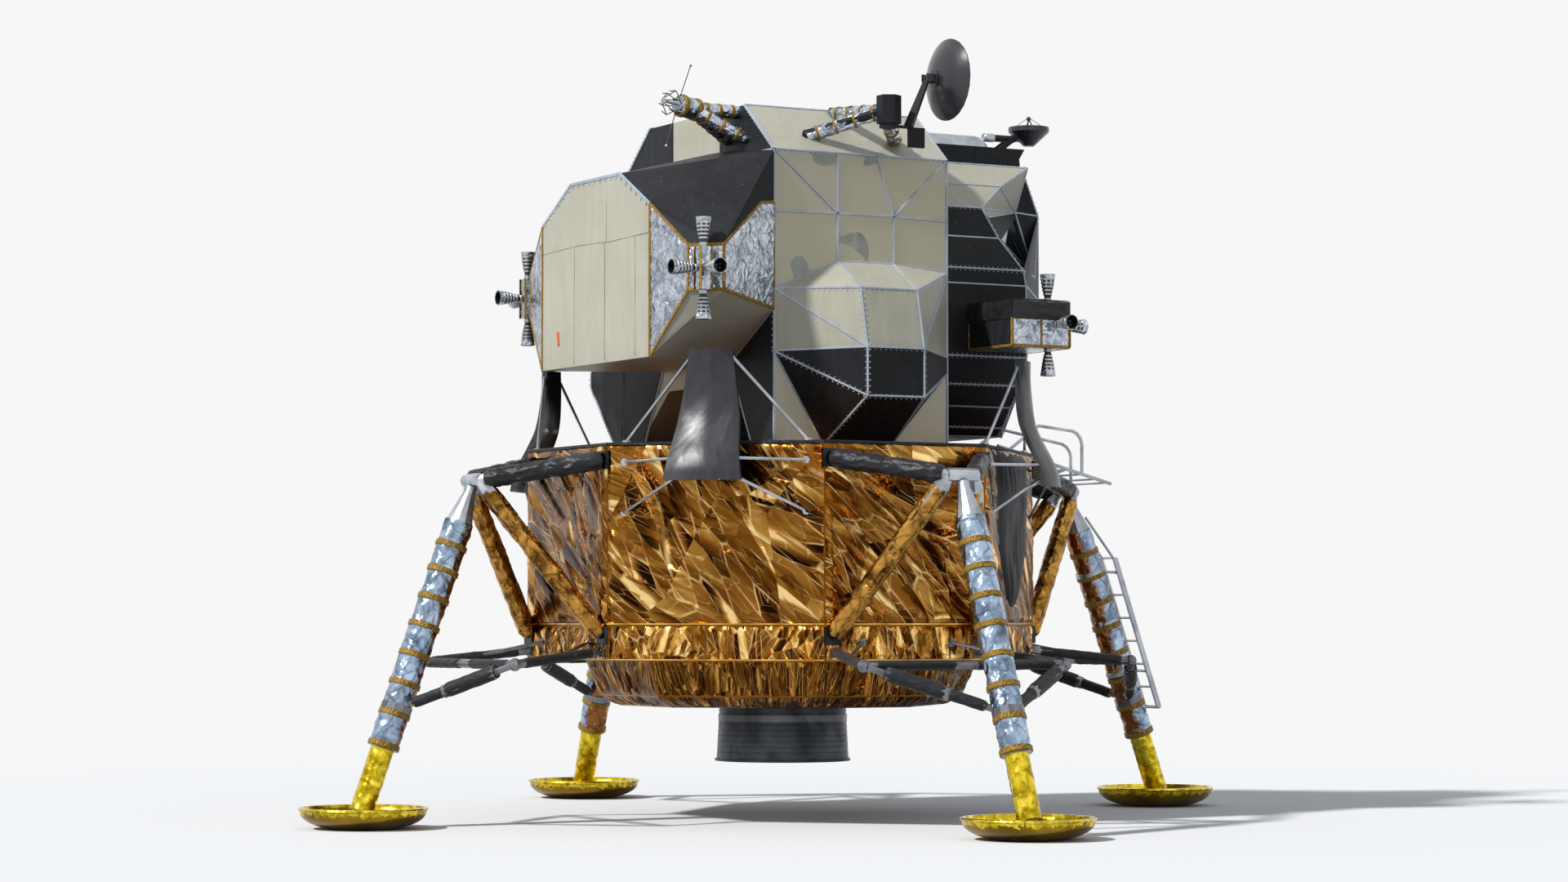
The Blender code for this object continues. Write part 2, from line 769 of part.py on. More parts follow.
def secondary_line(side):
    """Where a secondary strut starts and ends, and its direction."""
    way = (strut_point(COLLAR_Z) - tip(side)).normalized()
    start = tip(side) + way * (TIP_RADIUS + TIP_STUB)
    end = strut_point(COLLAR_Z) - way * (STRUT_RADIUS + COLLAR_WALL)
    return start, end, way


def secondary_struts():
    """A collar round the primary strut and the two struts that meet on it."""
    parts = []
    for side in (-1, 1):
        start, end, way = secondary_line(side)
        start = start + way * SEAT
        length = (end - start).length
        sleeve_end = length * SLEEVE_SHARE
        rod_end = length - END_FITTING
        bevel = SLEEVE_RADIUS / 3
        inner = length + COLLAR_WALL + FITTING_RADIUS
        profile = (
            (0, 0),
            (FITTING_RADIUS, 0),
            (FITTING_RADIUS, END_FITTING),
            (SLEEVE_RADIUS, END_FITTING + bevel),
            (SLEEVE_RADIUS, sleeve_end),
            (ROD_RADIUS, sleeve_end + bevel),
            (ROD_RADIUS, rod_end),
            (FITTING_RADIUS, rod_end + bevel),
            (FITTING_RADIUS, inner),
            (0, inner),
        )
        parts.append(turned(profile, TUBE_SIDES, start, way))
    return off_strut(fuse(clamp(COLLAR_Z, COLLAR_HEIGHT, COLLAR_WALL), *parts))


def deployment_truss():
    """The frame that carries the inboard ends of a leg's two secondary struts."""
    inboard = LEG_FACE + SEAT + FOOT_THICK / 2
    parts = []
    for side in (-1, 1):
        corner = Vector((side * TRUSS_FOOT_ACROSS, inboard, TRUSS_FOOT_Z))
        parts.append(ball(tip(side), TIP_RADIUS))
        start, _, way = secondary_line(side)
        parts.append(rod(tip(side), start, FITTING_RADIUS))
        parts.append(rod(tip(side), corner, BAR_RADIUS))
        half = FOOT_PLATE / 2 - FOOT_THICK
        parts.append(
            box(
                (corner.x - half, LEG_FACE + SEAT, corner.z - half),
                (corner.x + half, LEG_FACE + SEAT + FOOT_THICK, corner.z + TRUSS_PLATE_RISE),
            )
        )
        middle = (tip(side) + corner) / 2
        link_foot = Vector((side * LINK_FOOT_ACROSS, inboard, LINK_FOOT_Z))
        parts.append(rod(middle, link_foot, LINK_RADIUS, sides=THIN_SIDES))
        parts.append(rod(link_foot - Vector((0, FOOT_THICK, 0)), link_foot, BAR_RADIUS))
    return off_face(fuse(rod(tip(-1), tip(1), BAR_RADIUS), *parts), LEG_FACE)


def ladder():
    def rail_point(side, place):
        return Vector((side * LADDER_HALF, *place))

    way = (Vector(LADDER_KNEE) - Vector(LADDER_FOOT)).normalized()
    parts = []
    for side in (-1, 1):
        places = (LADDER_TOP, LADDER_KNEE, LADDER_FOOT)
        parts.append(pipe([rail_point(side, place) for place in places], RAIL_RADIUS))
    length = (Vector(LADDER_KNEE) - Vector(LADDER_FOOT)).length
    rungs = int(length / RUNG_STEP)
    for rung in range(rungs + 1):
        place = Vector(LADDER_FOOT) + way * (RUNG_STEP / 2 + rung * RUNG_STEP)
        if rung < rungs:
            parts.append(rod(rail_point(-1, place), rail_point(1, place), RUNG_RADIUS, sides=THIN_SIDES))
    for z in STANDOFF_HEIGHTS:
        share = (z - LADDER_FOOT[1]) / (LADDER_KNEE[1] - LADDER_FOOT[1])
        place = Vector(LADDER_FOOT).lerp(Vector(LADDER_KNEE), share)
        parts.append(rod(rail_point(-1, place), rail_point(1, place), STANDOFF_RADIUS, sides=THIN_SIDES))
        parts.append(clamp(z, STANDOFF_CLAMP, COLLAR_WALL))
        toward = Vector((0, *place)) - strut_point(z)
        toward = (toward - strut_axis() * toward.dot(strut_axis())).normalized()
        inner = strut_point(z) + toward * (STRUT_RADIUS + COLLAR_WALL / 2)
        for side in (-1, 1):
            outer = rail_point(side * STANDOFF_SHARE, place)
            parts.append(rod(outer, inner, STANDOFF_RADIUS, sides=THIN_SIDES))
    return off_strut(fuse(parts[0], *parts[1:]))


def porch_z(reach):
    fall = (PORCH_OUTER[1] - PORCH_INNER[1]) / (PORCH_OUTER[0] - PORCH_INNER[0])
    return PORCH_INNER[1] + fall * (reach - PORCH_INNER[0])


def porch_point(across, reach, rise=0.0):
    return Vector((across, reach, porch_z(reach) + rise))


def handrail(side, foot, start, end):
    """A rail over one side of the porch, bent round at its outer corner."""
    edge = side * PORCH_HALF
    bend = PORCH_RAIL_BEND
    points = [porch_point(edge, foot), porch_point(edge, start, PORCH_RAIL_INNER_RISE)]
    for step in range(PORCH_BEND_STEPS + 1):
        angle = math.pi / 2 * step / PORCH_BEND_STEPS
        reach = end - bend + bend * math.sin(angle)
        points.append(porch_point(edge, reach, PORCH_RAIL_OUTER_RISE - bend + bend * math.cos(angle)))
    return pipe([*points, porch_point(edge, end)], PORCH_RAIL_TUBE)


def porch():
    """A sloping grille of slats between two side tubes, with a handrail over each."""
    parts = []
    inner, outer = PORCH_INNER[0], PORCH_OUTER[0]
    for side in (-1, 1):
        edge = side * PORCH_HALF
        parts.append(rod(porch_point(edge, inner), porch_point(edge, outer), PORCH_TUBE, sides=THIN_SIDES))
        foot = porch_point(edge, inner + PORCH_TUBE)
        parts.append(rod((foot.x, foot.y, DECK_Z + SEAT), foot, PORCH_TUBE, sides=THIN_SIDES))
        wall = Vector((side * PORCH_BRACE_ACROSS, LEG_FACE + SEAT, PORCH_BRACE_Z))
        plate = wall + Vector((0, FOOT_THICK, 0))
        middle = wall + Vector((0, FOOT_THICK / 2, 0))
        top = porch_point(side * PORCH_BRACE_ACROSS, inner + (outer - inner) * PORCH_BRACE_SHARE)
        parts.append(rod(wall, plate, BRACE_FOOT, sides=THIN_SIDES))
        parts.append(rod(middle, top, PORCH_TUBE, sides=THIN_SIDES))
    parts += [handrail(*rail) for rail in PORCH_RAILS]
    half = PORCH_SLAT / 2
    for slat in range(PORCH_SLATS):
        reach = inner + (outer - inner) * slat / (PORCH_SLATS - 1)
        middle = porch_point(0, min(max(reach, inner + half), outer - half))
        width = Vector((PORCH_HALF, half, PORCH_SLAT_THICK / 2))
        parts.append(box(middle - width, middle + width))
    return off_face(fuse(parts[0], *parts[1:]), LEG_FACE)


def stowage_cover():
    """A cloth cover that hangs down a diagonal face and narrows to its tied end."""
    half = COVER_HALF_TOP
    outline = [(-half, COVER_TOP_Z), (half, COVER_TOP_Z)]
    for across, z in ((COVER_HALF_MID, COVER_MID_Z), (COVER_TIP_HALF, COVER_TIP_Z)):
        outline.append((across, z))
    outline += [(-across, z) for across, z in reversed(outline[2:])]
    base = DIAGONAL_FACE + SEAT
    middle_z = (COVER_TOP_Z + COVER_TIP_Z) / 2
    layers = ((base, 1), (base + COVER_DEPTH / 2, 1), (base + COVER_DEPTH, COVER_CROWN_SHARE))
    points = []
    for depth, share in layers:
        points += [(across * share, depth, middle_z + (z - middle_z) * share) for across, z in outline]
    return hull(points)


def jet_deflector():
    """A bowed sheet that kicks outwards at its lower end, and the tubes that hold it."""
    columns = SHEET_COLUMNS
    points = []
    for offset in (0, SHEET_THICK):
        for z, out, half in SHEET_ROWS:
            for column in range(columns + 1):
                share = 2 * column / columns - 1
                points.append((share * half, out + offset - SHEET_BOW * share * share, z))
    wide, rows = columns + 1, len(SHEET_ROWS)
    back = wide * rows
    faces = []
    for row in range(rows - 1):
        for column in range(columns):
            a = row * wide + column
            faces.append((a, a + 1, a + 1 + wide, a + wide))
            faces.append((back + a, back + a + wide, back + a + 1 + wide, back + a + 1))
        for a in (row * wide, row * wide + columns):
            faces.append((a, a + wide, back + a + wide, back + a))
    for column in range(columns):
        for a in (column, (rows - 1) * wide + column):
            faces.append((a, a + 1, back + a + 1, back + a))
    sheet = polyhedron(points, faces)
    parts = []
    top_z, top_out, top_half = SHEET_ROWS[0]
    low_z, low_out, low_half = SHEET_ROWS[-2]
    inner = SHEET_THICK / 2
    wall = Vector((0, DIAGONAL_FACE + SEAT, 0))
    for side in (-1, 1):
        deck_foot = Vector((side * BRACE_DECK_HALF, DIAGONAL_FACE - BRACE_FOOT, DECK_Z + SEAT))
        deck_top = deck_foot + Vector((0, 0, BRACE_PAD))
        parts.append(rod(deck_foot, deck_top, BRACE_FOOT, sides=THIN_SIDES))
        edge_bow = SHEET_BOW * CORNER_SHARE**2
        corner = Vector((side * top_half * CORNER_SHARE, top_out + inner - edge_bow, top_z - BRACE_FOOT))
        parts.append(rod(deck_top - Vector((0, 0, BRACE_RADIUS)), corner, BRACE_RADIUS, sides=THIN_SIDES))
        for foot_z, end in (
            (BRACE_MID_Z, Vector((side * low_half * CORNER_SHARE, low_out + inner - edge_bow, low_z))),
            (BRACE_LOW_Z, Vector((side * BRACE_FOOT, low_out + inner, low_z - BRACE_FOOT))),
        ):
            foot = wall + Vector((side * BRACE_DECK_HALF, 0, foot_z))
            raised = foot + Vector((0, BRACE_PAD, 0))
            parts.append(rod(foot, raised, BRACE_FOOT, sides=THIN_SIDES))
            parts.append(rod(raised - Vector((0, BRACE_RADIUS, 0)), end, BRACE_RADIUS, sides=THIN_SIDES))
    return off_face(fuse(sheet, *parts), DIAGONAL_FACE)


LEGS = (
    # name, turn about the vertical from aft
    ("aft", 0),
    ("starboard", 90),
    ("forward", 180),
    ("port", -90),
)
CORNERS = (
    # name, turn about the vertical from aft, side along X, side along Y
    ("aft_starboard", 45, -1, 1),
    ("aft_port", -45, 1, 1),
    ("forward_starboard", 135, -1, -1),
    ("forward_port", -135, 1, -1),
)


def landing_gear():
    for name, turn in LEGS:
        node(f"leg_{name}_footpad", "pad_gold", turned_to(footpad(), turn))
        node(f"leg_{name}_primary_strut", "silver_foil", turned_to(primary_strut(), turn))
        node(f"leg_{name}_outrigger", "gold_foil", turned_to(outrigger_truss(), turn))
        node(f"leg_{name}_secondary_struts", "black_cloth", turned_to(secondary_struts(), turn))
        node(f"leg_{name}_deployment_truss", "black_cloth", turned_to(deployment_truss(), turn))


def descent_fittings():
    forward = dict(LEGS)["forward"]
    node("ladder", "bare_metal", turned_to(ladder(), forward))
    node("porch", "bare_metal", turned_to(porch(), forward))
    for name, turn, _, _ in CORNERS:
        node(f"jet_deflector_{name}", "dark_panel", turned_to(jet_deflector(), turn))
        if name == "forward_starboard":
            node("stowage_cover", "black_cloth", turned_to(stowage_cover(), turn))


def mid_outline(inset=0.0, floor=DECK_Z + SEAT):
    """The middle section's cross-section, seen along the craft."""
    side, roof = MID_HALF - inset, ROOF_Z - inset
    flat = ROOF_HALF - inset / 2
    shoulder = SHOULDER_Z - inset / 2
    return [(-side, floor), (side, floor), (side, shoulder), (flat, roof), (-flat, roof), (-side, shoulder)]


def along_craft(outline, start, end):
    return extrusion([(x, start, z) for x, z in outline], (0, end - start, 0))


def midsection():
    body = along_craft(mid_outline(), MID_FRONT, MID_AFT)
    room = along_craft(mid_outline(MID_WALL, MID_FLOOR_Z), MID_FRONT + MID_WALL, MID_AFT - MID_WALL)
    recess = [
        (RECESS_STARBOARD, RECESS_TOP_Z),
        (RECESS_PORT, RECESS_TOP_Z),
        (RECESS_PORT + RECESS_SPREAD * 2, DECK_Z - OVERRUN),
        (RECESS_STARBOARD - RECESS_SPREAD, DECK_Z - OVERRUN),
    ]
    recess = along_craft(recess, RECESS_FRONT, MID_AFT + OVERRUN)
    under = (0, 0, ROOF_Z - MID_WALL - OVERRUN)
    hole = rod(under, (0, 0, ROOF_Z + OVERRUN), TUNNEL_RADIUS + SEAT, sides=ROUND_SIDES)
    scale = cabin_scale(CABIN_WALL)
    way = [(x, z) for x, z, _ in CABIN_RING if MID_FLOOR_Z < CABIN_AXIS_Z + (z - CABIN_AXIS_Z) * scale]
    way = [(x * scale, CABIN_AXIS_Z + (z - CABIN_AXIS_Z) * scale) for x, z in way]
    way.append((way[-1][0], MID_FLOOR_Z))
    way += [(-x, z) for x, z in reversed(way)]
    doorway = along_craft(way, MID_FRONT - OVERRUN, MID_FRONT + MID_WALL + OVERRUN)
    node("midsection", "cream_panel", cut(body, room, recess, hole, doorway))


def tank_bays():
    base = MID_HALF + SEAT
    low = DECK_Z + SEAT
    starboard = [
        (0, MID_AFT, BAY_EDGE_AFT_Z),
        (0, BAY_AFT, BAY_RIDGE_Z),
        (0, BAY_FORE, BAY_RIDGE_Z),
        (0, MID_FRONT, BAY_EDGE_FORE_Z),
        (0, MID_AFT, BAY_EDGE_Z),
        (0, MID_FRONT, BAY_EDGE_Z - (BAY_MID_Z - BAY_LOW_Z) / 3),
        (BAY_UPPER_OUT, BAY_AFT, BAY_UPPER_Z),
        (BAY_UPPER_OUT, BAY_FORE, BAY_UPPER_Z),
        (BAY_OUT, BAY_AFT, BAY_MID_Z),
        (BAY_OUT, BAY_FORE, BAY_MID_Z),
        (BAY_OUT, BAY_AFT, BAY_LOW_Z),
        (BAY_OUT, BAY_FORE, BAY_LOW_Z),
        (0, BAY_FOOT_AFT, low),
        (0, BAY_FOOT_FORE, low),
    ]
    node("starboard_tank_bay", "cream_panel", hull([(-base - out, y, z) for out, y, z in starboard]))
    port = [
        (0, MID_AFT, BAY_RIDGE_Z),
        (0, BAY_FORE, BAY_RIDGE_Z),
        (0, MID_FRONT, BAY_EDGE_FORE_Z),
        (0, MID_FRONT, BAY_EDGE_Z - (BAY_MID_Z - BAY_LOW_Z) / 3),
        (PORT_UPPER_OUT, MID_AFT, BAY_UPPER_Z),
        (PORT_UPPER_OUT, BAY_FORE, BAY_UPPER_Z),
        (PORT_OUT, MID_AFT, PORT_MID_Z),
        (PORT_OUT, BAY_FORE, PORT_MID_Z),
        (PORT_OUT, MID_AFT, PORT_LOW_Z),
        (PORT_OUT, BAY_FORE, PORT_LOW_Z),
        (PORT_FOOT_OUT, MID_AFT, PORT_FOOT_Z),
        (PORT_FOOT_OUT / 2, MID_AFT, low),
        (0, MID_AFT, low),
        (0, BAY_FOOT_FORE, low),
    ]
    node("port_tank_bay", "dark_panel", hull([(base + out, y, z) for out, y, z in port]))


def cabin_scale(inset):
    return 1 - inset / CABIN_RADIUS


def cabin_solid(inset, back):
    """The faceted front cabin; inset draws every wall in, and back is its open end."""
    scale = cabin_scale(inset)
    points, names = [], {}

    def add(name, side, x, y, z):
        names[name, side] = len(points)
        points.append((side * x * scale, y, CABIN_AXIS_Z + (z - CABIN_AXIS_Z) * scale))

    singles = (
        ("nose_brow", NOSE_HALF, *NOSE_BROW),
        ("nose_top", NOSE_HALF, NOSE_FRONT, NOSE_TOP_Z),
        ("nose_low", NOSE_HALF, NOSE_FRONT, NOSE_LOW_Z),
        ("nose_foot", NOSE_HALF, NOSE_FOOT, CABIN_RING[-1][1]),
        ("brow_inner", *BROW_INNER),
        ("brow_outer", *BROW_OUTER),
        ("window_foot", *WINDOW_FOOT),
    )
    for side in (-1, 1):
        for index, (x, z, reach) in enumerate(CABIN_RING):
            add(f"back{index}", side, x, back, z)
            add(f"edge{index}", side, x, inset - reach, z)
        for name, x, reach, z in singles:
            add(name, side, x, inset - reach, z)
    last = len(CABIN_RING) - 1
    faces = [
        [names[f"back{index}", -1] for index in range(last + 1)]
        + [names[f"back{index}", 1] for index in range(last, -1, -1)]
    ]
    patches = [
        ("brow_inner", "nose_brow", "edge0"),
        ("brow_inner", "edge0", "edge1"),
        ("brow_inner", "edge1", "edge2"),
        ("brow_inner", "edge2", "brow_outer"),
        ("brow_inner", "brow_outer", "edge3"),
        ("brow_outer", "edge2", "edge3"),
        ("brow_inner", "nose_top", "nose_brow"),
        ("nose_top", "window_foot", "brow_inner"),
        ("brow_inner", "window_foot", "edge3"),
        ("window_foot", "edge4", "edge3"),
        ("nose_top", "nose_low", "edge5", "edge4", "window_foot"),
        ("nose_low", "nose_foot", "edge6", "edge5"),
        *(("nose_foot", f"edge{index + 1}", f"edge{index}") for index in range(6, last)),
        *((f"back{index}", f"edge{index}", f"edge{index + 1}", f"back{index + 1}") for index in range(last)),
    ]
    for side in (-1, 1):
        faces += [[names[name, side] for name in patch] for patch in patches]
    spine = ("back0", "edge0", "nose_brow", "nose_top", "nose_low", "nose_foot")
    across = list(zip(spine, spine[1:]))
    for first, second in across:
        faces.append([names[first, -1], names[first, 1], names[second, 1], names[second, -1]])
    bottom = ["nose_foot", f"edge{last}", f"back{last}"]
    faces.append([names[name, -1] for name in bottom] + [names[name, 1] for name in reversed(bottom)])
    return polyhedron(points, faces)


def window_points(side, share):
    corners = [
        Vector((side * x, -reach, z))
        for x, reach, z in (BROW_INNER, WINDOW_FOOT, (CABIN_RING[3][0], CABIN_RING[3][2], CABIN_RING[3][1]))
    ]
    middle = sum(corners, Vector()) / len(corners)
    normal = (corners[1] - corners[0]).cross(corners[2] - corners[0]).normalized()
    if normal.y > 0:
        normal = -normal
    return [middle + (corner - middle) * share for corner in corners], normal


def hatch_frame():
    """Middle of the hatch on the nose's outer face, the way up along it, and the way in."""
    low = Vector((0, -NOSE_FOOT, CABIN_RING[-1][1]))
    high = Vector((0, -NOSE_FRONT, NOSE_LOW_Z))
    rise = (high - low).normalized()
    centre = low.lerp(high, (HATCH_CENTRE_Z - low.z) / (high.z - low.z))
    return centre, rise, Vector((0, rise.z, -rise.y))


def hatch_block(width, height, near, far):
    """A slab parallel to the nose's face, from one depth to another behind it."""
    centre, rise, inward = hatch_frame()
    side = Vector((width / 2, 0, 0))
    middle = centre + inward * near
    up = rise * height / 2
    corners = [middle - side - up, middle + side - up, middle + side + up, middle - side + up]
    return extrusion(corners, inward * (far - near))


def hinge_place(rise_share):
    centre, rise, inward = hatch_frame()
    out = Vector((-HATCH_SIDE / 2 - HINGE_OFFSET, 0, 0))
    return centre + out + inward * (HATCH_FLANGE + HINGE_DEPTH) + rise * HATCH_SIDE * rise_share


def front_cabin():
    back = MID_FRONT - SEAT
    shell = cabin_solid(0, back)
    room = cabin_solid(CABIN_WALL, back + OVERRUN)
    cutters = [room]
    cutters.append(hatch_block(HATCH_OPENING, HATCH_OPENING, -OVERRUN, HATCH_FLANGE + OVERRUN))
    pocket = HATCH_SIDE + 2 * HATCH_MARGIN
    cutters.append(hatch_block(pocket, pocket, HATCH_FLANGE, HATCH_FLANGE + HATCH_POCKET))
    for side in (-1, 1):
        corners, normal = window_points(side, WINDOW_SHARE)
        reach = CABIN_WALL * 3
        cutters.append(extrusion([corner + normal * reach for corner in corners], -normal * 2 * reach))
    whole = cut(shell, *cutters)
    far = CABIN_RADIUS * 2
    front = box((-far, -far * 2, 0), (far, CABIN_SPLIT, far * 4))
    rear = box((-far, CABIN_SPLIT - SEAT, 0), (far, far, far * 4))
    node("cabin_shell", "dark_panel", cut(whole.copy(), front))
    node("cabin_face", "dark_panel", cut(whole, rear))
    for side, name in ((-1, "starboard"), (1, "port")):
        corners, normal = window_points(side, WINDOW_SHARE - GLASS_SHARE_GAP)
        start = [corner - normal * CABIN_WALL / 2 for corner in corners]
        node(f"window_glass_{name}", "glass", extrusion(start, normal * GLASS_THICK))


def hatches():
    leaf = hatch_block(HATCH_SIDE, HATCH_SIDE, HATCH_FLANGE + SEAT, HATCH_FLANGE + HATCH_THICK)
    inner = HATCH_SIDE - 2 * HATCH_MARGIN
    dish = hatch_block(inner, inner, HATCH_FLANGE + HATCH_THICK * 2 / 3, HATCH_FLANGE + HATCH_THICK + OVERRUN)
    knuckles = []
    _, _, inward = hatch_frame()
    for low_share, high_share in KNUCKLE_SHARES:
        low, high = hinge_place(low_share), hinge_place(high_share)
        knuckles.append(rod(low, high, KNUCKLE_RADIUS, sides=THIN_SIDES))
        arm = [low, high, high + Vector((HINGE_OFFSET * 2, 0, 0)), low + Vector((HINGE_OFFSET * 2, 0, 0))]
        knuckles.append(extrusion(arm, inward * KNUCKLE_RADIUS))
    node("forward_hatch", "dark_panel", fuse(cut(leaf, dish), *knuckles), hinge_place(0))

    top = TUNNEL_LOW_Z - SEAT
    hinge_x = TOP_HATCH_RADIUS + HINGE_OFFSET
    hinge_z = top - HINGE_DEPTH
    leaf = turned(
        (
            (0, top - HATCH_THICK / 2),
            (TUNNEL_BORE - HATCH_MARGIN, top - HATCH_THICK / 2),
            (TUNNEL_BORE - HATCH_MARGIN, top - HATCH_THICK),
            (TOP_HATCH_RADIUS, top - HATCH_THICK),
            (TOP_HATCH_RADIUS, top),
            (0, top),
        ),
        ROUND_SIDES,
    )
    arms = []
    for side in (-1, 1):
        y = side * TOP_HATCH_RADIUS / 4
        half = KNUCKLE_RADIUS * 2
        far = (hinge_x, y + half, hinge_z)
        arms.append(rod((hinge_x, y - half, hinge_z), far, KNUCKLE_RADIUS, sides=THIN_SIDES))
        arms.append(box((TOP_HATCH_RADIUS * 3 / 4, y - half, hinge_z - KNUCKLE_RADIUS), far))
    node("overhead_hatch", "bare_metal", fuse(leaf, *arms), (hinge_x, 0, hinge_z))
    tunnel = (
        (TUNNEL_BORE, TUNNEL_LOW_Z),
        (TUNNEL_RADIUS, TUNNEL_LOW_Z),
        (TUNNEL_RADIUS, TUNNEL_TOP_Z),
        (TUNNEL_BORE, TUNNEL_TOP_Z),
    )
    node("docking_tunnel", "bare_metal", turned(tunnel, ROUND_SIDES))


def mirrored(points):
    return [*points, *((-x, y, z) for x, y, z in points)]


def aft_bay():
    root = MID_AFT + SEAT
    turn = HOUSING_HALF / math.sqrt(2)
    points = [
        (AFT_ROOF_HALF, AFT_FACE, AFT_ROOF_Z),
        (AFT_HALF, AFT_FACE, AFT_SHOULDER_Z),
        (AFT_HALF, AFT_FACE, AFT_LOW_Z),
        (AFT_ROOF_HALF, root, AFT_ROOT_ROOF_Z),
        (MID_HALF, root, AFT_ROOT_SHOULDER_Z),
        (MID_HALF, root, AFT_ROOT_SIDE_LOW_Z),
        (AFT_ROOT_LOW_HALF, root, AFT_LOW_Z),
    ]
    for z in (HOUSING_LOW_Z, HOUSING_TOP_Z):
        points += [(HOUSING_AT + turn, HOUSING_AT - turn, z), (HOUSING_AT - turn, HOUSING_AT + turn, z)]
    node("aft_equipment_bay", "cream_panel", hull(mirrored(points)))


JET_OUTER_SHARES = (
    # radius over the mouth's, distance over the length: outer wall
    (0.40, 0.00),
    (0.34, 0.18),
    (0.72, 0.56),
    (1.00, 1.00),
)
JET_FLOOR_SHARE = 0.30


def jet(place, way):
    """A hollow thruster nozzle that points along way."""
    outer = [(radius * JET_MOUTH, height * JET_LENGTH) for radius, height in JET_OUTER_SHARES]
    inner = [(radius - JET_WALL, height) for radius, height in reversed(outer[2:])]
    profile = [(0, 0), *outer, *inner, (0, JET_LENGTH * JET_FLOOR_SHARE)]
    return turned(profile, TUBE_SIDES, place, way)


def jet_clusters():
    for name, turn, x_side, y_side in CORNERS:
        aft = y_side > 0
        z = JET_AFT_Z if aft else JET_FORE_Z
        centre = Vector((x_side * JET_AT, y_side * JET_AT, z))
        if aft:
            rise = JET_BLOCK_HEIGHT / 2
            half = Vector((JET_BLOCK_HALF, JET_BLOCK_HALF, rise))
            starts = (JET_BLOCK_HALF, JET_BLOCK_HALF)
            far = 2 * HOUSING_AT * math.sqrt(2)
            housing = box((-far, -far, 0), (far, HOUSING_AT * math.sqrt(2) + SEAT, ROOF_Z))
            block = cut(box(centre - half, centre + half), turned_to(housing, turn))
        else:
            rise = (FORE_BOX_TOP_Z - FORE_BOX_LOW_Z) / 2
            starts = (FORE_BOX_OUT - JET_AT, FORE_BOX_FRONT - JET_AT)
            sides = sorted((x_side * (CABIN_RING[5][0] + SEAT), x_side * FORE_BOX_OUT))
            low = (sides[0], -FORE_BOX_FRONT, FORE_BOX_LOW_Z)
            block = box(low, (sides[1], -FORE_BOX_AFT, FORE_BOX_TOP_Z))
        sink = JET_WALL
        jets = [jet(centre + Vector((0, 0, way * (rise - sink))), (0, 0, way)) for way in (-1, 1)]
        jets.append(jet(centre + Vector((x_side * (starts[0] - sink), 0, 0)), (x_side, 0, 0)))
        jets.append(jet(centre + Vector((0, y_side * (starts[1] - sink), 0)), (0, y_side, 0)))
        node(f"jet_cluster_{name}", "nozzle", fuse(block, *jets))


def ascent_engine():
    base, top = DECK_Z + SEAT, ASCENT_COVER_TOP_Z
    profile = [(0, base)]
    steps = 2 * ASCENT_COVER_RIBS
    for step in range(steps + 1):
        inset = ASCENT_RIB_DEPTH if step % 2 else 0
        profile.append((ASCENT_COVER_RADIUS - inset, base + (top - base) * step / steps))
    profile.append((0, top))
    place = (ASCENT_COVER_X, ASCENT_COVER_Y, 0)
    node("ascent_engine_cover", "dark_panel", turned(profile, ROUND_SIDES, place))


def roof_block():
    back = MID_FRONT - SEAT
    base = CABIN_RING[0][1] + SEAT
    outline = [
        (back, base),
        (-BLOCK_FRONT + OVERRUN, base),
        (-BLOCK_NECK, BLOCK_NECK_Z),
        (-BLOCK_FRONT, BLOCK_TOP_Z),
        (back, BLOCK_TOP_Z),
    ]
    corners = [(-BLOCK_HALF, y, z) for y, z in outline]
    node("roof_block", "dark_panel", extrusion(corners, (2 * BLOCK_HALF, 0, 0)))
    centre = BLOCK_TOP_Z
    nose = (FAIRING_X, -FAIRING_FRONT, centre)
    drum = rod((FAIRING_X, back, centre), nose, FAIRING_RADIUS, sides=ROUND_SIDES)
    capsule = fuse(drum, ball(nose, FAIRING_RADIUS, ROUND_SIDES, FAIRING_ROWS))
    far = FAIRING_RADIUS * 2
    low = (FAIRING_X - far, -BLOCK_FRONT - far, BLOCK_TOP_Z - far)
    below = box(low, (FAIRING_X + far, 0, BLOCK_TOP_Z + SEAT))
    node("roof_fairing", "bare_metal", cut(capsule, below))


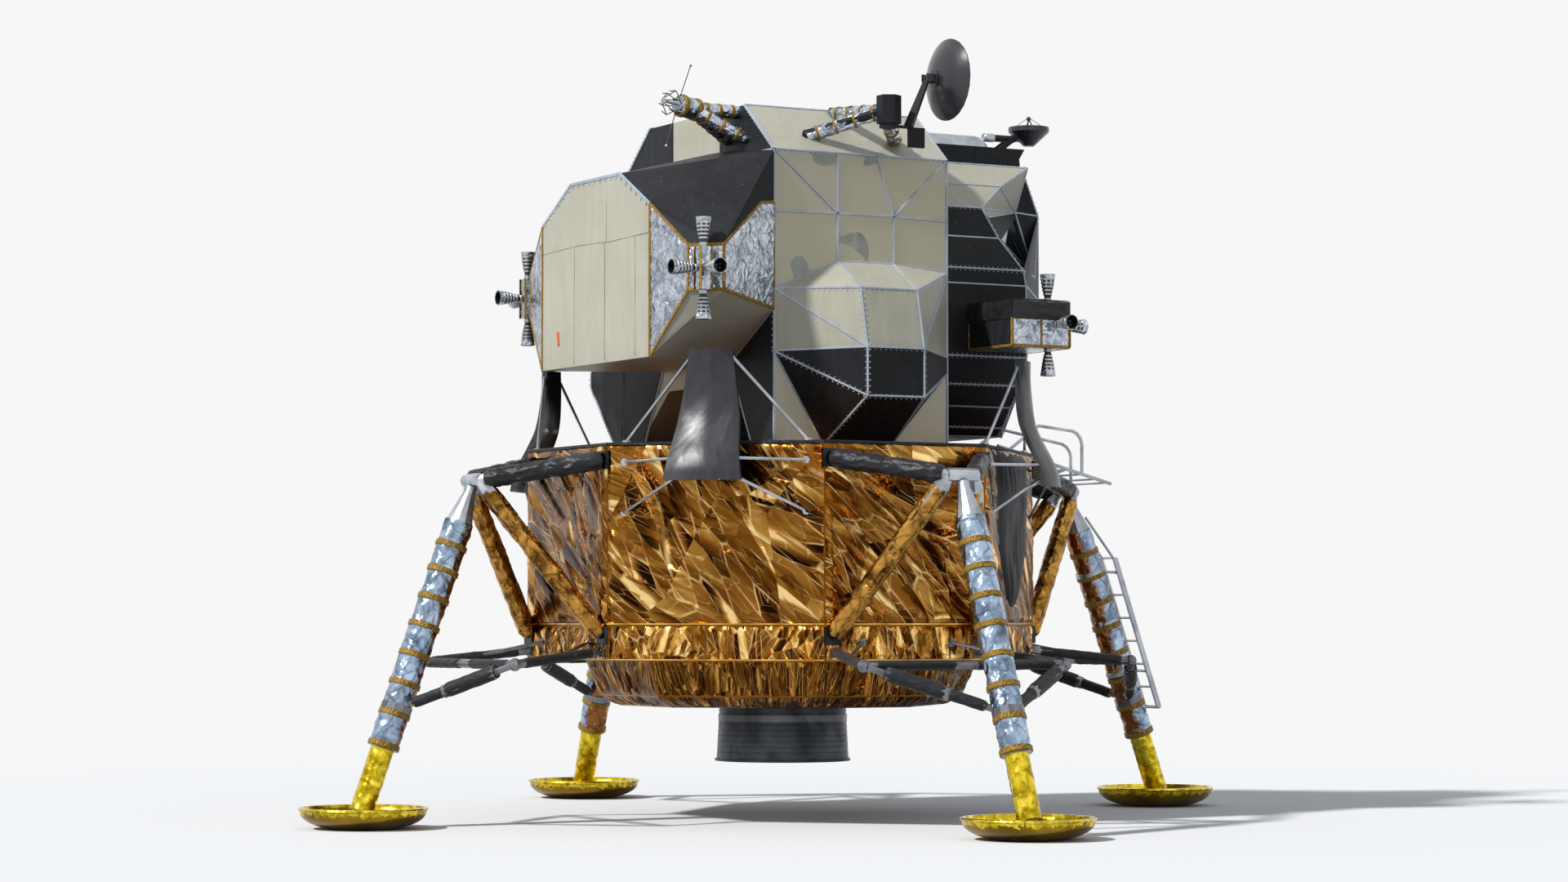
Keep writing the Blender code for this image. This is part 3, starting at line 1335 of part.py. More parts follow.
def rendezvous_radar():
    hub_y, hub_z = -RADAR_HUB[0], RADAR_HUB[1]
    hub = Vector((RADAR_X, hub_y, hub_z))
    half = RADAR_CHEEK_GAP / 2
    base = BLOCK_TOP_Z + SEAT
    plate_front = -BLOCK_FRONT + RADAR_CHEEK
    wide = half + RADAR_CHEEK
    far = (RADAR_X + wide, plate_front + RADAR_PLATE, base + RADAR_CHEEK)
    plate = box((RADAR_X - wide, plate_front, base), far)
    cheeks = []
    for side in (-1, 1):
        inner = RADAR_X + side * half
        outline = [
            (plate_front + RADAR_PLATE, base),
            (plate_front, base),
            (hub_y - RADAR_CHEEK_RADIUS, hub_z),
            (hub_y, hub_z + RADAR_CHEEK_RADIUS),
            (hub_y + RADAR_CHEEK_RADIUS, hub_z),
        ]
        cheeks.append(extrusion([(inner, y, z) for y, z in outline], (side * RADAR_CHEEK, 0, 0)))
    node("radar_mount", "dark_panel", fuse(plate, *cheeks))
    drum_half = Vector((half - SEAT, 0, 0))
    drum = rod(hub - drum_half, hub + drum_half, RADAR_DRUM_RADIUS)
    barrel = rod(hub, (RADAR_X, -RADAR_DRUM_AFT, hub_z), RADAR_BARREL_RADIUS)
    nose_end = hub_y - RADAR_DRUM_RADIUS - RADAR_NOSE
    nose = rod(hub, (RADAR_X, nose_end, hub_z), RADAR_AXLE)
    node("radar_gimbal", "dark_panel", fuse(drum, barrel, nose), hub)
    dish_y = -RADAR_DISH_Y
    rim_low = RADAR_RIM_Z - RADAR_RIM_DEEP
    bowl = (
        (0, RADAR_BASE_Z),
        (RADAR_BASE_RADIUS, RADAR_BASE_Z),
        (RADAR_RIM, rim_low),
        (RADAR_RIM, RADAR_RIM_Z),
        (RADAR_RIM - RADAR_WALL, RADAR_RIM_Z),
        (RADAR_RIM - RADAR_WALL, rim_low + RADAR_WALL),
        (RADAR_BASE_RADIUS, RADAR_BASE_Z + RADAR_RIM_DEEP),
        (0, RADAR_BASE_Z + RADAR_RIM_DEEP),
    )
    place = (RADAR_X, dish_y, 0)
    parts = [rod((RADAR_X, nose_end - SEAT, hub_z), (RADAR_X, dish_y + RADAR_BASE_RADIUS, hub_z), RADAR_AXLE)]
    feed = Vector((RADAR_X, dish_y, RADAR_FEED_Z))
    parts.append(ball(feed, RADAR_AXLE, THIN_SIDES))
    for step in range(3):
        angle = 2 * math.pi * step / 3
        spread = RADAR_RIM / 2
        foot_z = (rim_low + RADAR_BASE_Z) / 2
        foot = Vector((RADAR_X + spread * math.cos(angle), dish_y + spread * math.sin(angle), foot_z))
        parts.append(rod(foot, feed, VHF_WIRE, sides=THIN_SIDES))
    node("radar_dish", "dark_panel", fuse(turned(bowl, ROUND_SIDES, place), *parts), (RADAR_X, hub_y, hub_z))


def off_midsection(shape):
    """The shape without what would reach into the middle section."""
    solid = along_craft(mid_outline(-SEAT), MID_FRONT - SEAT, MID_AFT + SEAT)
    return cut(shape, solid)


def roof_slope():
    """The starboard slope's outward normal."""
    run = MID_HALF - ROOF_HALF
    fall = ROOF_Z - SHOULDER_Z
    return Vector((-fall, 0, run)).normalized()


def slope_point(y, z):
    share = (z - SHOULDER_Z) / (ROOF_Z - SHOULDER_Z)
    return Vector((-MID_HALF + (MID_HALF - ROOF_HALF) * share, y, z))


def sband_antenna():
    head = Vector(SBAND_HEAD)
    half = Vector((0, 0, SBAND_HEAD_HALF))
    parts = []
    socket = head + Vector((SBAND_HEAD_RADIUS / 2, 0, 0))
    for y, z in SBAND_FEET:
        seat = slope_point(y, z) + roof_slope() * SEAT
        raised = seat + roof_slope() * SBAND_STRUT
        parts.append(rod(seat, raised, SBAND_STRUT))
        parts.append(rod(raised - roof_slope() * SBAND_STRUT / 2, socket, SBAND_STRUT))
    parts.append(rod(head - half, head + half, SBAND_HEAD_RADIUS, sides=THIN_SIDES))
    node("sband_mount", "silver_foil", off_midsection(fuse(parts[0], *parts[1:])))

    hub = Vector(SBAND_HUB)
    under = head.z - half.z - SEAT
    foot = Vector((head.x, head.y, under))
    disc = rod(foot - Vector((0, 0, SBAND_ARM)), foot, SBAND_POST_RADIUS + SBAND_ARM, sides=ROUND_SIDES)
    knee = Vector((head.x, head.y - SBAND_KNEE, under - SBAND_ARM / 2))
    bridge = box(
        (head.x - SBAND_ARM, knee.y - SBAND_ARM, under - SBAND_ARM * 3 / 4),
        (head.x + SBAND_ARM, head.y, under - SBAND_ARM / 4),
    )
    weight = box(
        (head.x - SBAND_ARM / 2, knee.y - SBAND_WEIGHT, under - SBAND_ARM - SBAND_WEIGHT),
        (head.x + SBAND_ARM / 2, knee.y, under - SBAND_ARM / 2),
    )
    arm = rod(knee, hub, SBAND_ARM * math.sqrt(2), SBAND_ARM * math.sqrt(2) * SBAND_TAPER_SHARE, 4)
    pin = Vector((SBAND_ARM, 0, 0))
    eye = rod(hub - pin, hub + pin, SBAND_ARM)
    node("sband_arm", "dark_panel", fuse(disc, bridge, weight, arm, eye), tuple(head))

    back = hub.y - SBAND_BOSS
    outer, inner = [], []
    for row in range(SBAND_DISH_ROWS + 1):
        share = row / SBAND_DISH_ROWS
        outer.append((SBAND_DISH_RADIUS * share, SBAND_DISH_DEEP * share * share))
        inner.append((SBAND_DISH_RADIUS * share, SBAND_DISH_DEEP * share * share + SBAND_DISH_WALL))
    profile = [*outer, *reversed(inner)]
    bowl = turned(profile, ROUND_SIDES, (hub.x, back, hub.z), (0, -1, 0))
    behind = Vector((hub.x, back, hub.z))
    depth = Vector((0, 1, 0))
    boss = rod(behind - depth * SBAND_DISH_WALL, behind + depth * SBAND_CLEAR, SBAND_BOSS, sides=ROUND_SIDES)
    parts = [boss]
    for side in (-1, 1):
        near, far = side * (SBAND_ARM + SEAT), side * (SBAND_ARM + SBAND_CLEAR)
        low = (hub.x + min(near, far), back, hub.z - SBAND_ARM)
        high = (hub.x + max(near, far), hub.y + SBAND_ARM, hub.z + SBAND_ARM)
        parts.append(box(low, high))
    feed = SBAND_DISH_DEEP * SBAND_FEED_SHARE
    parts.append(rod((hub.x, back, hub.z), (hub.x, back - feed, hub.z), SBAND_CLEAR, sides=THIN_SIDES))
    node("sband_dish", "dark_panel", fuse(bowl, *parts), tuple(hub))


def vhf_antenna():
    head, end = Vector(VHF_HEAD), Vector(VHF_TIP)
    way = (end - head).normalized()
    parts = []
    for x, z in VHF_FEET:
        seat = Vector((x, MID_AFT + SEAT, z))
        raised = seat + Vector((0, VHF_STRUT, 0))
        parts.append(rod(seat, raised, VHF_STRUT))
        parts.append(rod(raised - Vector((0, VHF_STRUT / 2, 0)), head, VHF_STRUT))
    parts.append(rod(head - way * VHF_BODY_RADIUS, head + way * VHF_BODY_RADIUS, VHF_BODY_RADIUS))
    parts.append(rod(head, end, VHF_STRUT / 2, sides=THIN_SIDES))
    parts.append(rod(head, (head.x, head.y + VHF_BODY_RADIUS, VHF_ROD_TOP_Z), VHF_WIRE, sides=THIN_SIDES))
    side = way.cross(UP).normalized()
    for step in range(4):
        angle = math.pi / 2 * step
        out = side * math.cos(angle) + side.cross(way) * math.sin(angle)
        corner = end - way * VHF_CAGE + out * VHF_CAGE
        parts.append(pipe((end - way * VHF_WIRE, corner, end - way * 2 * VHF_CAGE), VHF_WIRE))
    node("vhf_antenna", "bare_metal", off_midsection(fuse(parts[0], *parts[1:])))


def main():
    clear_scene()
    descent_stage()
    descent_engine()
    landing_gear()
    descent_fittings()
    midsection()
    tank_bays()
    front_cabin()
    hatches()
    aft_bay()
    jet_clusters()
    ascent_engine()
    roof_block()
    rendezvous_radar()
    sband_antenna()
    vhf_antenna()


main()
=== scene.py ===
"""Looks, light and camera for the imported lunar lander.

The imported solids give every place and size; this script adds foil, wrapped cloth, riveted
panels and smooth turned parts, and rides each one on the body that carries it.
Metres, +Z up, forward -Y, starboard -X.
"""

import math

import bmesh
import bpy
from mathutils import Matrix, Vector, noise


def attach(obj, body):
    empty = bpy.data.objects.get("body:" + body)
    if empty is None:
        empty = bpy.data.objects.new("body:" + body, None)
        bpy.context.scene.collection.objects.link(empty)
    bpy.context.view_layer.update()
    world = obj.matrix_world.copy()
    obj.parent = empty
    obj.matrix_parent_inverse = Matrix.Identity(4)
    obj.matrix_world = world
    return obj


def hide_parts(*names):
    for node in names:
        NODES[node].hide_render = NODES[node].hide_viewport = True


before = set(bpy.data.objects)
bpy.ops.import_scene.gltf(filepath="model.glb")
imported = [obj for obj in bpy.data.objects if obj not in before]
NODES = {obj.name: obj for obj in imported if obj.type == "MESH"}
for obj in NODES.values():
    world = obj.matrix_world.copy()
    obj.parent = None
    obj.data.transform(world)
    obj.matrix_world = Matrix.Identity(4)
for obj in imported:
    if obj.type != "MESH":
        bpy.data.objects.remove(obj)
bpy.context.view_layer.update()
UP = Vector((0, 0, 1))
TURN_STEPS = 64

# Camera, fitted to the photograph
CAMERA_AZIMUTH = 240.87
CAMERA_DISTANCE = 34.05
CAMERA_HEIGHT = 1.799
CAMERA_PITCH = 2.76
CAMERA_LENS = 85.07
CAMERA_SENSOR = 36.0
IMAGE_WIDTH = 1920
PRINCIPAL_X = 958.3

# The craft's own sizes, the same as in the solids
LEG_FACE = 2.199
LEG_FACE_HALF = 0.813
DIAGONAL_FACE = (LEG_FACE + LEG_FACE_HALF) / math.sqrt(2)
DIAGONAL_HALF = (LEG_FACE - LEG_FACE_HALF) / math.sqrt(2)
DECK_Z = 3.339
BAND_TOP_Z, BAND_LOW_Z = 1.751, 1.440
SKIRT_ROWS = ((0.775, 1.440), (0.72, 1.12), (0.64, 1.02))  # scale of the octagon, height
PAD_REACH, PAD_RADIUS, PAD_HEIGHT = 4.135, 0.565, 0.185
PAD_BOSS_Z, BALL_RADIUS = 0.105, 0.095
APEX_REACH, APEX_Z = 3.11, 3.02
STRUT_RADIUS, PISTON_RADIUS = 0.122, 0.098
PISTON_TOP_Z, CONE_LOW_Z = 0.70, 2.64
COLLAR_Z = 1.02
TIP_REACH, TIP_ACROSS, TIP_Z = 3.17, 1.0, 1.415
HUB_METAL_FROM = 2.97
LADDER_LINE = ((3.282, 2.780), (3.595, 2.392), (4.100, 0.955))  # handhold top, knee and foot
STANDOFF_HEIGHTS = (1.30, 2.25)
UPPER_FOOT = (0.76, 3.19)
LOWER_FOOT = (0.74, 1.66)
MID_HALF, MID_FRONT, MID_AFT = 1.46, -0.877, 0.898
ROOF_HALF, ROOF_Z, SHOULDER_Z = 0.92, 6.377, 5.925
CRAFT = "craft"

# Surface detail
SEAM_WIDTH, CABIN_SEAM_WIDTH = 0.020, 0.018
RIVET_GAP, RIVET_RADIUS = 0.05, 0.0055
PLATE_STEP = 0.06
LEAST_FACE = 0.02  # area below which a face gets no panel
FOIL_ROUGH, WRAP_ROUGH = (0.12, 0.30), (0.12, 0.28)
FOIL_LEAN = 0.35
FULL_WAVE = 6.3
PATCH_APART = 37.0
TURNING_GRAIN = (1, 1, 60)
MIDDLE = (0.5, 0.5, 0.5)
LEVEL = (1, 1, 0)
# orange for painted glints on the creased foil
PAINTED_GLINT = (0.85, 0.22, 0.02)
WRAPS = {
    # radius, swell, folds a metre, step, sides, share of the radius at the ends
    "piston": (PISTON_RADIUS + 0.003, 0.006, 12, 0.012, 32, 1.0),
    "strut": (STRUT_RADIUS + 0.001, 0.014, 7, 0.014, 44, 0.97),
    "upper": (0.076, 0.015, 6, 0.015, 34, 0.72),
    "lower": (0.077, 0.013, 6, 0.018, 32, 0.72),
    "sleeve": (0.062, 0.006, 8, 0.018, 28, 0.8),
    "sleeve_end": (0.047, 0.004, 8, 0.018, 24, 0.9),
    "bar": (0.041, 0.006, 8, 0.018, 20, 0.8),
    "cross": (0.041, 0.005, 8, 0.018, 20, 0.8),
    "dish_leg": (0.056, 0.012, 9, 0.012, 32, 0.9),
    "antenna_trunk": (0.088, 0.012, 8, 0.010, 36, 0.8),
    "antenna_leg": (0.054, 0.012, 9, 0.012, 32, 0.9),
}

LEGS = (("aft", 0), ("starboard", 90), ("forward", 180), ("port", -90))
CORNERS = (
    # name, turn from aft, side along X, side along Y
    ("aft_starboard", 45, -1, 1),
    ("aft_port", -45, 1, 1),
    ("forward_starboard", 135, -1, -1),
    ("forward_port", -135, 1, -1),
)


class Nodes:
    """A node tree, built by short calls."""

    def __init__(self, tree):
        self.tree = tree

    def add(self, kind, inputs=(), **settings):
        made = self.tree.nodes.new(kind)
        for key, value in settings.items():
            setattr(made, key, value)
        for key, value in dict(inputs).items():
            self.put(made.inputs[key], value)
        return made

    def put(self, socket, value):
        if isinstance(value, bpy.types.NodeSocket):
            self.tree.links.new(value, socket)
        else:
            socket.default_value = value

    def math(self, operation, *values):
        return self.add("ShaderNodeMath", dict(enumerate(values)), operation=operation).outputs[0]

    def vector(self, operation, *values):
        """A vector operation; the second value of SCALE is its factor."""
        sockets = (0, "Scale") if operation == "SCALE" else (0, 1)
        made = self.add("ShaderNodeVectorMath", dict(zip(sockets, values)), operation=operation)
        return made.outputs["Value" if operation in ("DOT_PRODUCT", "LENGTH") else "Vector"]

    def fit(self, value, low, high, start=0.0, end=1.0):
        """A value from start to end, mapped from low to high and held at both."""
        limits = {"Value": value, "From Min": start, "From Max": end, "To Min": low, "To Max": high}
        return self.add("ShaderNodeMapRange", limits).outputs[0]

    def coords(self, kind):
        return self.add("ShaderNodeTexCoord").outputs[kind]

    def place(self, scale=(1, 1, 1)):
        """Object coordinates, stretched."""
        inputs = {"Vector": self.coords("Object"), "Scale": scale}
        return self.add("ShaderNodeMapping", inputs).outputs["Vector"]

    def cells(self, vector, scale=1.0, **settings):
        return self.add("ShaderNodeTexVoronoi", {"Vector": vector, "Scale": scale}, **settings)

    def cloud(self, vector, scale, detail=4.0, distortion=0.0):
        inputs = {"Vector": vector, "Scale": scale, "Detail": detail, "Distortion": distortion}
        return self.add("ShaderNodeTexNoise", inputs).outputs["Fac"]

    def ramp(self, factor, stops):
        made = self.add("ShaderNodeValToRGB", {"Fac": factor})
        stop_list = made.color_ramp.elements
        while len(stop_list) < len(stops):
            stop_list.new(0.5)
        for stop, (at, colour) in zip(stop_list, stops):
            stop.position = at
            stop.color = (*colour, 1)
        return made.outputs["Color"]

    def mask(self, vector, scale, detail, low, high):
        """White patches on black: a cloud cut off between two levels."""
        return self.ramp(self.cloud(vector, scale, detail), ((low, (0, 0, 0)), (high, (1, 1, 1))))

    def mix(self, share, first, second):
        """Two colours mixed by a share."""
        made = self.add("ShaderNodeMix", {0: share}, data_type="RGBA")
        for socket, colour in ((6, first), (7, second)):
            self.put(made.inputs[socket], (*colour, 1) if isinstance(colour, tuple) else colour)
        return made.outputs[2]

    def shift(self, vector, by, amount):
        """A vector pushed about by a colour."""
        centred = self.vector("SUBTRACT", by, MIDDLE)
        return self.vector("ADD", vector, self.vector("SCALE", centred, amount))

    def wander(self, vector, scale, detail, amount):
        """A vector pushed about by a noise colour, for edges that wander."""
        inputs = {"Vector": vector, "Scale": scale, "Detail": detail}
        return self.shift(vector, self.add("ShaderNodeTexNoise", inputs).outputs["Color"], amount)

    def bump(self, height, distance, strength, normal=None):
        inputs = {"Height": height, "Distance": distance, "Strength": strength}
        if normal is not None:
            inputs["Normal"] = normal
        return self.add("ShaderNodeBump", inputs).outputs["Normal"]

    def tilt(self, normal, by, amount):
        """A normal leaned by a cell's own colour, as a flat facet of foil leans."""
        return self.vector("NORMALIZE", self.shift(normal, by, amount))

    def seen_rays(self):
        """1 for rays from the camera, straight or by way of a glossy or clear surface."""
        rays = self.add("ShaderNodeLightPath").outputs
        seen = self.math("MAXIMUM", rays["Is Camera Ray"], rays["Is Glossy Ray"])
        return self.math("MAXIMUM", seen, rays["Is Transmission Ray"])


class Shader(Nodes):
    """A material with a principled surface."""

    INPUTS = {"colour": "Base Color", "ior": "IOR", "sheen": "Sheen Weight", "coat": "Coat Weight"}

    def __init__(self, name):
        self.material = bpy.data.materials.new(name)
        self.material.use_nodes = True
        super().__init__(self.material.node_tree)
        self.surface = self.tree.nodes["Principled BSDF"]

    def set(self, **values):
        for key, value in values.items():
            self.put(self.surface.inputs[self.INPUTS.get(key, key.capitalize())], value)
        return self.material


def facets(s, place, lean_by):
    """Flat crease facets whose tones are painted reflections: most keep one tone, and some run from dark to
    bright across themselves.
    """
    cells, edges = s.cells(place), s.cells(place, feature="DISTANCE_TO_EDGE")
    random = s.add("ShaderNodeSeparateColor", {"Color": cells.outputs["Color"]}).outputs
    offset = s.vector("SUBTRACT", place, cells.outputs["Position"])
    across = s.vector("DOT_PRODUCT", offset, s.vector("SUBTRACT", cells.outputs["Color"], MIDDLE))
    begin = s.math("MULTIPLY", random["Red"], FULL_WAVE)
    wave = s.math("SINE", s.math("MULTIPLY_ADD", across, lean_by, begin))
    share = s.math("MULTIPLY", s.math("POWER", random["Green"], 1.2), 0.56)
    tone = s.math("MULTIPLY_ADD", wave, share, 0.5)
    return tone, edges.outputs["Distance"], cells.outputs["Color"]


def patched(s, coords, patch, turn, spread, stretch):
    """Coordinates laid out anew in each patch of the sheet, turned its own way and drawn out."""
    scaled = s.vector("SCALE", coords, patch)
    cells = s.cells(scaled).outputs
    random = s.add("ShaderNodeSeparateColor", {"Color": cells["Color"]}).outputs["Red"]
    angle = s.math("MULTIPLY_ADD", random, math.radians(spread), math.radians(turn - spread / 2))
    inputs = {"Vector": s.vector("SUBTRACT", scaled, cells["Position"]), "Angle": angle}
    leaning = s.add("ShaderNodeVectorRotate", inputs, rotation_type="Z_AXIS").outputs[0]
    drawn = s.vector("MULTIPLY", leaning, [size / patch for size in stretch])
    return s.vector("ADD", drawn, s.vector("SCALE", cells["Color"], PATCH_APART))


def creased_foil(name, stops, ridge, patch, turn, spread, stretch, warp=0.06):
    """Metal foil with long straight crease facets, laid out over the sheet's own flat coordinates; its
    colour holds painted reflection and shade on the facets, painted highlights along the creases and
    painted orange glints.
    """
    s = Shader(name)
    flat = s.coords("UV")
    coords = s.wander(flat, 2.2, 2.0, warp)
    big, edge, random = facets(s, patched(s, coords, patch, turn, spread, stretch), 6.0)
    finer = patched(s, coords, patch * 1.7, turn, spread * 1.4, [size * 1.9 for size in stretch])
    small, small_edge, _ = facets(s, finer, 8.0)
    # the facets' tones: painted reflection and shade on each facet
    tone = s.math("MULTIPLY_ADD", small, 0.36, s.math("MULTIPLY_ADD", big, 0.90, -0.13))
    # painted highlights: pale lines along the facets' edges, where the ridge colour goes
    ridge_highlights = s.fit(edge, 1.0, 0.0, 0.004, 0.040)
    small_ridge_highlights = s.fit(small_edge, 1.0, 0.0, 0.004, 0.030)
    line = s.math("MAXIMUM", ridge_highlights, s.math("MULTIPLY", small_ridge_highlights, 0.5))
    line = s.math("MULTIPLY", line, s.mask(flat, 3.1, 3.0, 0.42, 0.58))
    colour = s.mix(line, s.ramp(tone, stops), ridge)
    # painted glints: orange specks in clusters
    glint_clusters = s.mask(flat, 1.9, 2.0, 0.60, 0.66)
    glint_specks = s.mask(flat, 46.0, 4.0, 0.54, 0.58)
    colour = s.mix(s.math("MULTIPLY", glint_clusters, glint_specks), colour, PAINTED_GLINT)
    fine = s.cloud(flat, 14.0, 6.0)
    normal = s.bump(edge, 0.03, 0.5, s.bump(fine, 0.01, 0.35))
    normal = s.tilt(normal, random, FOIL_LEAN)
    return s.set(colour=colour, metallic=1.0, roughness=s.fit(fine, *FOIL_ROUGH), normal=normal)


def inward(s):
    """How far a point's surface faces the craft's centre line, from the craft's own coordinates."""
    outward = s.vector("NORMALIZE", s.vector("MULTIPLY", s.coords("Object"), LEVEL))
    return s.math("MULTIPLY", s.vector("DOT_PRODUCT", s.coords("Normal"), outward), -1.0)


def wrapped_foil(name, light, mid, dark, inner=None, scale=6.0):
    """Foil pulled round a tube: broad smooth dents with painted reflection and shade, painted shade dark in
    its fold creases and painted glints as bright specks.
    """
    s = Shader(name)
    place = s.place()
    warped = s.wander(place, scale * 0.5, 3.0, 0.16)
    broad = s.cloud(warped, scale * 0.7, 3.0, 1.2)
    folds = s.cells(warped, scale, feature="DISTANCE_TO_EDGE").outputs["Distance"]
    # painted shade: dark along the creases of the folds, mixed in below
    fold_shade = s.math("MULTIPLY", s.fit(folds, 1.0, 0.0, 0.0, 0.10), s.cloud(place, scale * 1.3, 2.0))
    # broad tones: painted reflection on the dents' bulges and painted shade in their hollows, on the same
    # noise as their bump
    colour = s.ramp(broad, ((0.34, mid), (0.62, light)))
    if inner:
        colour = s.mix(s.fit(inward(s), 0.0, 1.0, 0.25, 0.55), colour, inner)
    colour = s.mix(fold_shade, colour, dark)
    # painted glints: small bright specks lighter than the foil's light tone
    glint_flecks = s.math("MULTIPLY", s.mask(place, 26.0, 8.0, 0.64, 0.68), 0.6)
    colour = s.mix(glint_flecks, colour, tuple(min(part * 1.35, 1) for part in light))
    normal = s.bump(folds, 0.02, 0.5, s.bump(broad, 0.05, 0.5))
    return s.set(colour=colour, metallic=1.0, roughness=s.fit(broad, *WRAP_ROUGH), normal=normal)


def pad_foil():
    """Yellow foil that has flaked off the pad's brown underside."""
    s = Shader("pad_foil")
    place = s.place()
    height, facing = (
        s.add("ShaderNodeSeparateXYZ", {"Vector": s.coords(kind)}).outputs["Z"]
        for kind in ("Object", "Normal")
    )
    flakes = s.cloud(place, 20.0, 8.0, 0.6)
    raised = s.math("MULTIPLY_ADD", height, 3.6, -0.26)
    covered = s.math("ADD", s.math("ADD", raised, flakes), s.math("MULTIPLY", facing, 0.25))
    share = s.fit(covered, 0.0, 1.0, 0.58, 0.66)
    bare_stops = ((0.35, (0.150, 0.090, 0.010)), (0.65, (0.320, 0.200, 0.022)))
    leaf_stops = ((0.34, (0.30, 0.20, 0.006)), (0.52, (0.62, 0.46, 0.02)), (0.68, (0.92, 0.74, 0.08)))
    bare = s.ramp(s.cloud(place, 3.0, 4.0), bare_stops)
    leaf = s.ramp(s.cloud(place, 11.0, 6.0, 1.0), leaf_stops)
    normal = s.bump(flakes, 0.01, 0.4, s.bump(share, 0.004, 0.5))
    colour = s.mix(share, bare, leaf)
    return s.set(colour=colour, metallic=1.0, roughness=s.fit(share, 0.30, 0.20), normal=normal)


def woven_tape():
    """Ochre tape wound from strands, with worn glints."""
    s = Shader("ochre_tape")
    waves = {"Scale": 22.0, "Distortion": 7.0, "Detail": 3.0, "Detail Scale": 2.0}
    waves["Vector"] = s.place((1, 1, 2.2))
    strands = s.add("ShaderNodeTexWave", waves).outputs["Fac"]
    worn = s.cloud(s.place(), 9.0, 4.0)
    stops = ((0.05, (0.15, 0.075, 0.007)), (0.42, (0.40, 0.235, 0.028)))
    colour = s.ramp(s.math("MULTIPLY", strands, worn), stops)
    normal = s.bump(strands, 0.004, 0.8)
    return s.set(colour=colour, metallic=0.55, roughness=s.fit(worn, 0.30, 0.50), normal=normal)


def painted(name, light, dark, rough, wave, metallic=0.0, speck=None, ior=1.5, dent=0.05):
    """A thin painted sheet with soft dents, streaks and a little dirt."""
    s = Shader(name)
    place = s.place()
    broad = s.cloud(place, 1.3, 3.0, 0.6)
    streak = s.cloud(s.place((6, 6, 0.9)), 2.2, 6.0, 0.3)
    colour = s.ramp(s.math("MULTIPLY", broad, streak), ((0.12, dark), (0.42, light)))
    if speck:
        colour = s.mix(s.mask(place, 22.0, 8.0, 0.66, 0.72), colour, speck)
    normal = s.bump(s.cloud(place, 38.0, 4.0), 0.002, 0.25, s.bump(broad, dent, wave))
    roughness = s.fit(streak, *rough)
    return s.set(colour=colour, metallic=metallic, roughness=roughness, normal=normal, ior=ior)


def cloth(name, light, dark, stretch=(5, 5, 12), rough=(0.42, 0.62), wave=0.6, ior=1.4):
    """Coated black cloth or foil: long wrinkles over a fine weave."""
    s = Shader(name)
    folds = s.cloud(s.place(stretch), 1.4, 5.0, 0.8)
    colour = s.ramp(folds, ((0.30, dark), (0.72, light)))
    weave = s.add("ShaderNodeTexWave", {"Vector": s.place(), "Scale": 160.0, "Distortion": 1.0})
    normal = s.bump(weave.outputs["Fac"], 0.0006, 0.3, s.bump(folds, 0.03, wave))
    return s.set(colour=colour, roughness=s.fit(folds, *rough), normal=normal, sheen=0.05, ior=ior)


def turning_marks(s):
    return s.bump(s.cloud(s.place(TURNING_GRAIN), 3.0, 5.0), 0.002, 0.35)


def machined(name, colour, dark, rough=0.34):
    """Bare metal with fine turning marks and darker patches."""
    s = Shader(name)
    patches = s.cloud(s.place(), 4.0, 5.0, 0.5)
    tone = s.ramp(patches, ((0.35, dark), (0.62, colour)))
    roughness = s.fit(patches, rough + 0.12, rough - 0.06)
    return s.set(colour=tone, metallic=1.0, roughness=roughness, normal=turning_marks(s))


def tinted_glass():
    s = Shader("tinted_glass")
    tone = s.ramp(s.cloud(s.place(), 3.0), ((0.3, (0.015, 0.017, 0.02)), (0.7, (0.03, 0.034, 0.04))))
    return s.set(colour=tone, roughness=0.06, coat=1.0, ior=1.5)


def fitting_metal():
    """Machined metal on the hubs that stand clear of the craft, darker where the tubes reach it."""
    s = Shader("hub_metal")
    reach = s.vector("LENGTH", s.vector("MULTIPLY", s.coords("Object"), LEVEL))
    share = s.fit(reach, 0.0, 1.0, HUB_METAL_FROM, HUB_METAL_FROM + 0.02)
    patches = s.cloud(s.place(), 5.0, 5.0, 0.5)
    bright = s.ramp(patches, ((0.35, (0.30, 0.32, 0.36)), (0.62, (0.56, 0.59, 0.64))))
    dull = s.ramp(patches, ((0.35, (0.02, 0.02, 0.023)), (0.62, (0.05, 0.05, 0.055))))
    colour, roughness = s.mix(share, dull, bright), s.fit(patches, 0.42, 0.24)
    return s.set(colour=colour, metallic=1.0, roughness=roughness, normal=turning_marks(s))


